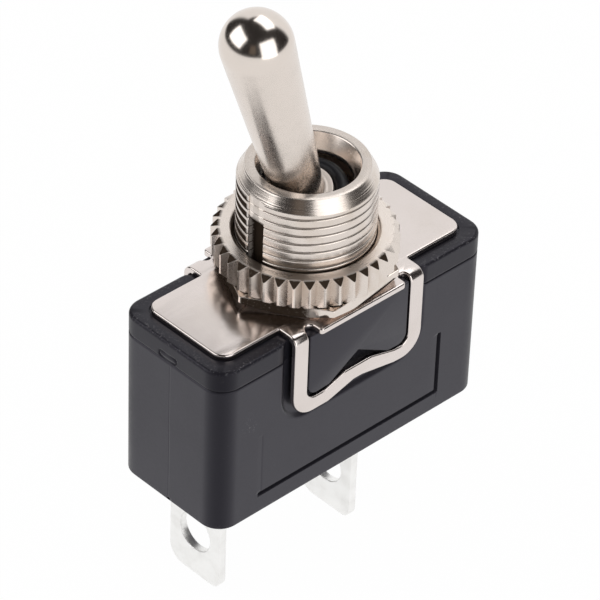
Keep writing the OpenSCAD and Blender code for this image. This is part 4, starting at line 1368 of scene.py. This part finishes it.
@dataclass
class Cover(Moulding):
    """The cover: a rounded rim round the plate's recess, notched where the loops cross it."""

    rim_z: float = -0.45
    edge_round: float = 0.3
    recess_z: float = -0.6
    recess_gap: float = 0.18
    plate: Outline = Outline(27.8, 9.6, 1.3)
    notch_half: float = 7.65
    well: float = 5.6
    well_z: float = -1.6
    window: Pair = (4.5, 2.7)
    edge_wear: float = 0.5
    gate_y: float = 0.2
    gate_half: float = 1.05
    gate_z: float = -1.95
    gate_tall: float = 0.26
    gate_deep: float = 0.14

    def gate_depth(self, y: np.ndarray, z: float) -> np.ndarray:
        """How far the -X face is sunk by the broken-off moulding gate.

        A moat round a long low island, deepest at its two ends:
        deep * (1 - smooth step of |distance to the island's edge|) * (0.35 + 0.65 (y / half)^2).
        """
        away = np.abs(y - self.gate_y)
        beyond = np.maximum(away - self.gate_half + self.gate_tall, 0.0)
        edge = np.hypot(beyond, z - self.gate_z) - self.gate_tall
        strength = 0.35 + 0.65 * np.clip(away / self.gate_half, 0.0, 1.0) ** 2
        return self.gate_deep * falling(np.abs(edge), 0.04, 0.13) * strength

    def columns(self) -> np.ndarray:
        """X of the points along a long face, close together at the notch's ends."""
        ends = [side * (self.notch_half + d) for side in (-1, 1) for d in (-0.03, 0.0, 0.03, 0.06)]
        right = np.array([9.2, 10.0, 11.0, 12.0, 13.0])
        return self.off_corners(np.arange(-8.5, 8.51, 0.25), ends, -right, right)

    def profile(self) -> list[Pair]:
        """(inset, height) of the rows up the wall, from the seam's lip to the rim."""
        e, turn = self.edge_round, np.radians(np.arange(11.25, 90.1, 11.25))
        lip = [(0.5, 0.0), (0.14, 0.0), (0.02, 0.06), (0.0, 0.14)]
        rows = [(inset, self.seam_z + up) for inset, up in lip]
        rows += [(0.0, z) for z in np.linspace(self.seam_z + 0.22, self.rim_z - e, 15)]
        return rows + [(e - e * math.cos(a), self.rim_z - e + e * math.sin(a)) for a in turn]

    def build(self) -> bpy.types.Object:
        """Makes the cover.

        Each column runs from the seam up the wall, over the quarter round, across the rim, down to
        the recess and in to the well. In the notch its height is held to the recess.
        """
        side_x = self.columns()
        coarse = (np.linspace(-3.9, -1.4, 6), np.linspace(1.8, 3.9, 6))
        end_y = np.concatenate([coarse[0], np.arange(-1.2, 1.61, 0.08), coarse[1]])
        ring, side = self.outline.ring(side_x, end_y), self.outline.sides(side_x, end_y)
        normal = self.outline.normals(ring)
        front, back, left = (side == s.value for s in (Side.FRONT, Side.BACK, Side.LEFT))
        x, y = ring[:, 0] + self.shift, ring[:, 1]
        pocket = self.pocket_depth * falling(np.abs(x) - self.pocket_half, -0.02, self.slope)
        sunk = np.where(front | back, pocket, 0.0)
        notch = (front | back) & (np.abs(x) < self.notch_half)

        def level(z: float) -> np.ndarray:
            """Height z, held to the recess in the notch."""
            return np.where(notch, min(z, self.recess_z - 0.02), z)

        rows = []
        for inset, z in self.profile():
            deep = np.maximum(inset, sunk) + np.where(left, self.gate_depth(y, z), 0.0)
            rows.append(self.round(ring, normal, deep, level(z)))
        gap = self.recess_gap
        recess = Outline(self.plate.length + 2 * gap, self.plate.width + 2 * gap, self.plate.r + gap)
        flat_x, flat_y = recess.length / 2 - recess.r, recess.width / 2 - recess.r
        wall = recess.ring(np.clip(side_x, -flat_x, flat_x), np.clip(end_y, -flat_y, flat_y))
        inward = recess.normals(wall)
        rim = self.rim_z
        for out, z in ((0.08, rim), (0.02, rim - 0.02), (0.0, rim - 0.08), (0.0, self.recess_z)):
            rows.append(self.round(wall, inward, -out, level(z)))
        angle = np.arctan2(rows[-1][:, 1], rows[-1][:, 0])
        well = self.well * np.stack([np.cos(angle), np.sin(angle)], axis=-1)
        window = np.clip(well, -np.array(self.window), self.window)
        deep, low = self.well_z, self.seam_z
        for points, z in ((well, rows[-1][:, 2]), (well, deep), (window, deep), (window, low)):
            rows.append(np.column_stack([points, np.broadcast_to(z, len(points))]))
        mesh = grid_mesh("cover_rim", np.array(rows), wrap_rows=True, wrap_cols=True)
        p = mesh_points(mesh)
        out_x = np.abs(p[:, 0] - self.shift) - self.outline.length / 2
        out = np.maximum(out_x, np.abs(p[:, 1]) - self.outline.width / 2)
        edge = rising(p[:, 2], self.rim_z - 0.34, self.rim_z - 0.1) * rising(out, -0.75, -0.25)
        self.mark(mesh, self.edge_wear * edge)
        return make_object(mesh, 42.0)


@dataclass
class Pad:
    """A raised pad that a loop hooks under, one on each long face, with a notch in its lower edge."""

    half: float = 5.7
    drop: float = 6.98
    top: float = -0.62
    notch_rise: float = 2.08
    face: float = 6.845
    back: float = 5.75
    edge: float = 0.12

    def build(self, side: int) -> bpy.types.Object:
        """Makes one pad: its outline in (x, z), given a thickness and turned upright."""
        outline = filleted([
            (-self.half, self.top, 0.0), (-self.half, -self.drop, 1.0), (-3.25, -self.drop + 0.12, 0.5),
            (0.0, -self.drop + self.notch_rise, 0.15), (3.5, -self.drop + 0.10, 0.5),
            (self.half, -self.drop, 1.0), (self.half, self.top, 0.0),
        ])
        thick = self.face - self.back
        mesh = sheet_mesh(f"hook_pad_{'front' if side < 0 else 'back'}", [outline], thick, self.edge)
        p = mesh_points(mesh)
        set_points(mesh, np.stack([p[:, 0], side * (self.face - thick / 2 + p[:, 2]), p[:, 1]], axis=-1))
        tidy_mesh(mesh)
        return make_object(mesh, 35.0)


@dataclass
class Lug:
    """A solder lug: flat blade with a hole and two round corners, folded inwards inside the case."""

    name: str
    x: float
    low: float
    top: float
    foot_to: float
    rivet_x: float = 0.0
    rivet_r: float = 0.7
    foot_half: float = 2.5
    foot_corner: float = 0.3
    half: float = 3.15
    thick: float = 0.8
    hole: float = 1.9
    hole_h: float = 4.6
    front_r: float = 1.0
    back_r: float = 1.7
    top_r: float = 0.2
    edge: float = 0.09

    def build(self) -> bpy.types.Object:
        """Makes the lug: blade and foot joined in one mesh."""
        blade = filleted([
            (-self.half, self.top, self.top_r), (-self.half, self.low, self.front_r),
            (self.half, self.low, self.back_r), (self.half, self.top, self.top_r),
        ])
        hole = circle(0.0, self.low + self.hole_h, self.hole, 56)
        mesh = sheet_mesh(self.name, [blade, hole], self.thick, self.edge)
        p = mesh_points(mesh)
        set_points(mesh, np.stack([self.x + self.thick / 2 + p[:, 2], p[:, 0], p[:, 1]], axis=-1))
        (lo, hi), y = sorted((self.x + 0.1, self.foot_to)), self.foot_half
        corners = filleted([(*at, self.foot_corner) for at in ((lo, -y), (hi, -y), (hi, y), (lo, y))])
        rivet = circle(self.rivet_x, 0.0, self.rivet_r, 32)
        foot = sheet_mesh(self.name + "_foot", [corners, rivet], self.thick, self.edge)
        set_points(foot, mesh_points(foot) + np.array([0.0, 0.0, self.top - self.thick / 2 - 0.002]))
        with opened(mesh) as work:
            work.from_mesh(foot)
            bmesh.ops.recalc_face_normals(work, faces=work.faces)
        bpy.data.meshes.remove(foot)
        return make_object(mesh, 35.0)


@dataclass
class Spring:
    """The plunger's spring, made of the CAD coil."""

    lean_deg: float
    merge: float = 1e-7

    def build(self) -> tuple[bpy.types.Object, np.ndarray, np.ndarray]:
        """Makes the spring.

        Returns:
            The piece, its end at the lever and its end at the plunger, in metres.
        """
        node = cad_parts["plunger_spring"]
        mesh = node.data.copy()
        mesh.name = "plunger_coil"
        mesh.transform(node.matrix_world)
        with opened(mesh) as coil:
            bmesh.ops.remove_doubles(coil, verts=coil.verts, dist=self.merge)
        lean = math.radians(self.lean_deg)
        down = np.array([math.sin(lean), 0.0, -math.cos(lean)])
        points = np.array([v.co for v in mesh.vertices])
        centre = points.mean(axis=0)
        along = (points - centre) @ down
        start, end = centre + along.min() * down, centre + along.max() * down
        return new_object("plunger_coil", mesh), start, end


def seen_by(tree: bpy.types.NodeTree, first: str, *others: str) -> Socket:
    """1 for light paths of any of the named kinds, and 0 for the rest."""
    path = tree.nodes.new("ShaderNodeLightPath")
    seen = path.outputs[first]
    for kind in others:
        either = tree.nodes.new("ShaderNodeMath")
        either.operation = "MAXIMUM"
        tree.links.new(seen, either.inputs[0])
        tree.links.new(path.outputs[kind], either.inputs[1])
        seen = either.outputs[0]
    return seen


def send_mix(tree: bpy.types.NodeTree, share: Socket, first: Socket, second: Socket, kind: str) -> None:
    """Sends a mix of two shaders to a new output.

    Args:
        tree: the tree that all of them are in.
        share: 0 where only the first is used and 1 where only the second is.
        first: the first shader.
        second: the second shader.
        kind: the kind of output node.
    """
    mix, output = tree.nodes.new("ShaderNodeMixShader"), tree.nodes.new(kind)
    for socket, source in zip(mix.inputs, (share, first, second)):
        tree.links.new(source, socket)
    tree.links.new(mix.outputs[0], output.inputs[0])


@dataclass(frozen=True)
class Lamp:
    """A rectangular lamp that faces the switch: its place and size in millimetres, its power in watts."""

    name: str
    place: Triple
    size: Pair
    power: float

    def build(self) -> None:
        """Adds the lamp."""
        data = bpy.data.lights.new(self.name, "AREA")
        data.shape, data.size, data.size_y = "RECTANGLE", self.size[0] * MM, self.size[1] * MM
        data.energy = self.power
        obj = new_object(self.name, data)
        obj.location = Vector(self.place) * MM
        obj.rotation_euler = (-Vector(self.place)).to_track_quat("-Z", "Y").to_euler()


@dataclass
class Studio:
    """Camera, floor, lamps, the dark room with its card, and the white surround."""

    floor_z: float = -28.25
    floor_half: float = 600.0
    floor_white: float = 0.985
    azimuth: float = -44.593
    elevation: float = 37.978
    roll: float = 2.176
    place: Triple = (-196.591, -199.037, 214.740)
    focal_px: float = 4198.56
    frame_px: float = 600.0
    sensor: float = 36.0
    soft_light: float = 0.55
    hood_radius: float = 900.0
    hood_break: float = 52.0
    hood_low: float = -3.0
    hood_facing: float = -148.5
    hood_half: float = 131.5
    hood_rows: int = 67
    hood_columns: int = 181
    hood_soft: Triple = (4.0, 5.0, 7.0)
    hood_colour: Colour = (0.030, 0.027, 0.026)
    card_colour: Colour = (0.15, 0.122, 0.10)
    # The card's rise and fall, in azimuth and in elevation.
    card: tuple[tuple[Pair, Pair], tuple[Pair, Pair]] = (
        ((-158.0, -152.0), (-140.0, -134.0)), ((4.0, 12.0), (27.0, 39.0)),
    )
    lamps: tuple[Lamp, ...] = (
        Lamp("left_box", (-246.0, 154.0, 196.0), (341.0, 234.0), 0.48),
        Lamp("top_box", (150.0, 18.0, 316.0), (280.0, 180.0), 0.30),
        Lamp("front_box", (-34.0, -327.0, 120.0), (312.0, 326.0), 0.56),
    )

    def camera(self) -> None:
        """Places the camera where the photograph was taken from."""
        az, el, roll = (math.radians(v) for v in (self.azimuth, self.elevation, self.roll))
        back = Vector((math.sin(az) * math.cos(el), -math.cos(az) * math.cos(el), math.sin(el)))
        right0 = Vector((math.cos(az), math.sin(az), 0.0))
        up0 = back.cross(right0)
        right = right0 * math.cos(roll) + up0 * math.sin(roll)
        up = up0 * math.cos(roll) - right0 * math.sin(roll)
        data = bpy.data.cameras.new("camera")
        data.sensor_width = self.sensor
        data.lens = self.focal_px / self.frame_px * self.sensor
        data.clip_start, data.clip_end = 0.01, 10.0
        obj = new_object("camera", data)
        turn = Matrix((right, up, back)).transposed().to_4x4()
        obj.matrix_world = Matrix.Translation(Vector(self.place) * MM) @ turn
        bpy.context.scene.camera = obj

    def floor(self) -> None:
        """Adds the pale floor, whose colour is white to the camera but for the switch's shadow."""
        mesh, s = bpy.data.meshes.new("floor"), self.floor_half * MM
        mesh.from_pydata([(-s, -s, 0), (s, -s, 0), (s, s, 0), (-s, s, 0)], [], [(0, 1, 2, 3)])
        mesh.transform(Matrix.Translation((0.0, 0.0, self.floor_z * MM)))
        material = bpy.data.materials.new("pale_floor")
        tree = fresh_tree(material)
        plain, white = tree.nodes.new("ShaderNodeBsdfDiffuse"), tree.nodes.new("ShaderNodeEmission")
        plain.inputs["Color"].default_value = (0.8, 0.8, 0.8, 1.0)
        share = tree.nodes.new("ShaderNodeMath")
        share.operation = "MULTIPLY"
        share.inputs[1].default_value = self.floor_white
        tree.links.new(seen_by(tree, "Is Camera Ray", "Is Glossy Ray"), share.inputs[0])
        send_mix(tree, share.outputs[0], plain.outputs[0], white.outputs[0], "ShaderNodeOutputMaterial")
        mesh.materials.append(material)
        new_object("floor", mesh)

    def world(self) -> None:
        """White to the camera and in reflections, and a plain soft light on everything else."""
        world = bpy.data.worlds.new("surround")
        bpy.context.scene.world = world
        tree = fresh_tree(world)
        soft, white = tree.nodes.new("ShaderNodeBackground"), tree.nodes.new("ShaderNodeBackground")
        for node, strength in ((soft, self.soft_light), (white, 1.0)):
            node.inputs["Color"].default_value = (1.0, 1.0, 1.0, 1.0)
            node.inputs["Strength"].default_value = strength
        seen = seen_by(tree, "Is Camera Ray", "Is Glossy Ray", "Is Transmission Ray")
        send_mix(tree, seen, soft.outputs[0], white.outputs[0], "ShaderNodeOutputWorld")

    def hood(self) -> None:
        """Adds the dark room that polished metal sees above the table, on the camera's side.

        A dome: overhead it goes all the way round, and below hood_break it leaves the far side open
        to the white backdrop. Its edges fade over a few degrees, and a brown card stands in it. Only
        reflections see it. Its darkness and its colour are written per point, from azimuth a and
        elevation e: dark = step(e, low) * max(step(e, break), 1 - step(|a - facing|, half)).
        """
        heights = np.linspace(-9.0, 90.0, self.hood_rows)
        e, a = np.meshgrid(heights, np.linspace(-180.0, 180.0, self.hood_columns), indexing="ij")
        r, up, turn = self.hood_radius * MM, np.radians(e), np.radians(a)
        out = r * np.cos(up)
        dome = np.stack([out * np.cos(turn), out * np.sin(turn), r * np.sin(up)], axis=-1)
        off = np.abs((a - self.hood_facing + 180.0) % 360.0 - 180.0)
        low, middle, half = self.hood_soft
        side = falling(off, self.hood_half - half, self.hood_half + half)
        over = rising(e, self.hood_break - middle, self.hood_break + middle)
        dark = rising(e, self.hood_low - low, self.hood_low + low) * np.maximum(over, side)
        card_a, card_e = self.card
        card = band(a, *card_a) * band(e, *card_e)
        room, brown = np.array(self.hood_colour), np.array(self.card_colour)
        colour = room + card[..., None] * (brown - room)
        mesh = bpy.data.meshes.new("dark_room")
        faces = grid_faces(self.hood_rows, self.hood_columns)
        mesh.from_pydata(dome.reshape(-1, 3).tolist(), [], faces.tolist())
        store(mesh, "veil", dark)
        tint = mesh.attributes.new("tint", "FLOAT_VECTOR", "POINT")
        tint.data.foreach_set("vector", colour.reshape(-1).astype(np.float32))
        mesh.materials.append(self.room_material())
        obj = new_object("dark_room", mesh)
        obj.visible_camera = obj.visible_diffuse = obj.visible_shadow = obj.visible_transmission = False

    def room_material(self) -> bpy.types.Material:
        """The dark room's walls, which give off their tint where the veil is 1 and are clear at 0."""
        material = bpy.data.materials.new("dark_room")
        tree = fresh_tree(material)
        veil, tint = tree.nodes.new("ShaderNodeAttribute"), tree.nodes.new("ShaderNodeAttribute")
        veil.attribute_name, tint.attribute_name = "veil", "tint"
        clear, wall = tree.nodes.new("ShaderNodeBsdfTransparent"), tree.nodes.new("ShaderNodeEmission")
        tree.links.new(tint.outputs["Vector"], wall.inputs["Color"])
        share, kind = veil.outputs["Fac"], "ShaderNodeOutputMaterial"
        send_mix(tree, share, clear.outputs[0], wall.outputs[0], kind)
        return material

    def build(self) -> None:
        """Sets up the whole studio."""
        self.camera()
        self.floor()
        self.world()
        for lamp in self.lamps:
            lamp.build()
        self.hood()
        bpy.context.scene.view_settings.view_transform = "Standard"


def main() -> None:
    logging.basicConfig(level=logging.INFO, format="%(name)s: %(message)s")
    lever = Lever()
    materials = make_finishes(lever)

    def log(obj: bpy.types.Object, bodies: str) -> None:
        """Logs one finished piece."""
        LOG.info("%s: %d faces, rides on %s", obj.name, len(obj.data.polygons), bodies)

    def add(obj: bpy.types.Object, body: Body, finish: Finish, *nodes: str) -> None:
        """Dresses one piece, puts it on its body and hides the CAD nodes that it stands for."""
        dress(obj, materials[finish])
        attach(obj, body.value)
        if nodes:
            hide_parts(*nodes)
        log(obj, body.value)

    add(Case().build(), Body.CASE, Finish.CASE, "case")
    for side in (-1, 1):
        add(Pad().build(side), Body.CASE, Finish.CASE)
    add(Cover().build(), Body.CASE, Finish.COVER, "cover")
    add(FramePlate().build(), Body.CASE, Finish.SHEET, "frame_plate")
    add(Bush().build(), Body.CASE, Finish.BUSH, "bush")
    add(HexNut().build(), Body.CASE, Finish.HEX, "hex_nut")
    add(RingNut().build(), Body.CASE, Finish.RING, "knurled_nut")
    add(lever.build(), Body.LEVER, Finish.LEVER, "lever")
    add(lever.build_seal(), Body.LEVER, Finish.RUBBER, "seal_ring")
    end = Lug("end_lug", -11.97, -27.37, -10.9, -7.3, rivet_x=-9.1)
    common = Lug("common_lug", 3.55, -28.17, -14.97, -3.0)
    add(end.build(), Body.CASE, Finish.LUG, "end_terminal")
    add(common.build(), Body.CASE, Finish.LUG, "common_terminal")
    coil, start, stop = Spring(lever.lean_deg).build()
    dress(coil, materials[Finish.WIRE])
    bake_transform(coil)
    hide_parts("plunger_spring")
    log(coil, "the lever and the plunger")
    for node, finish in INNER_NODES.items():
        dress(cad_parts[node], materials[finish])
    Studio().build()


if __name__ == "__main__":
    main()
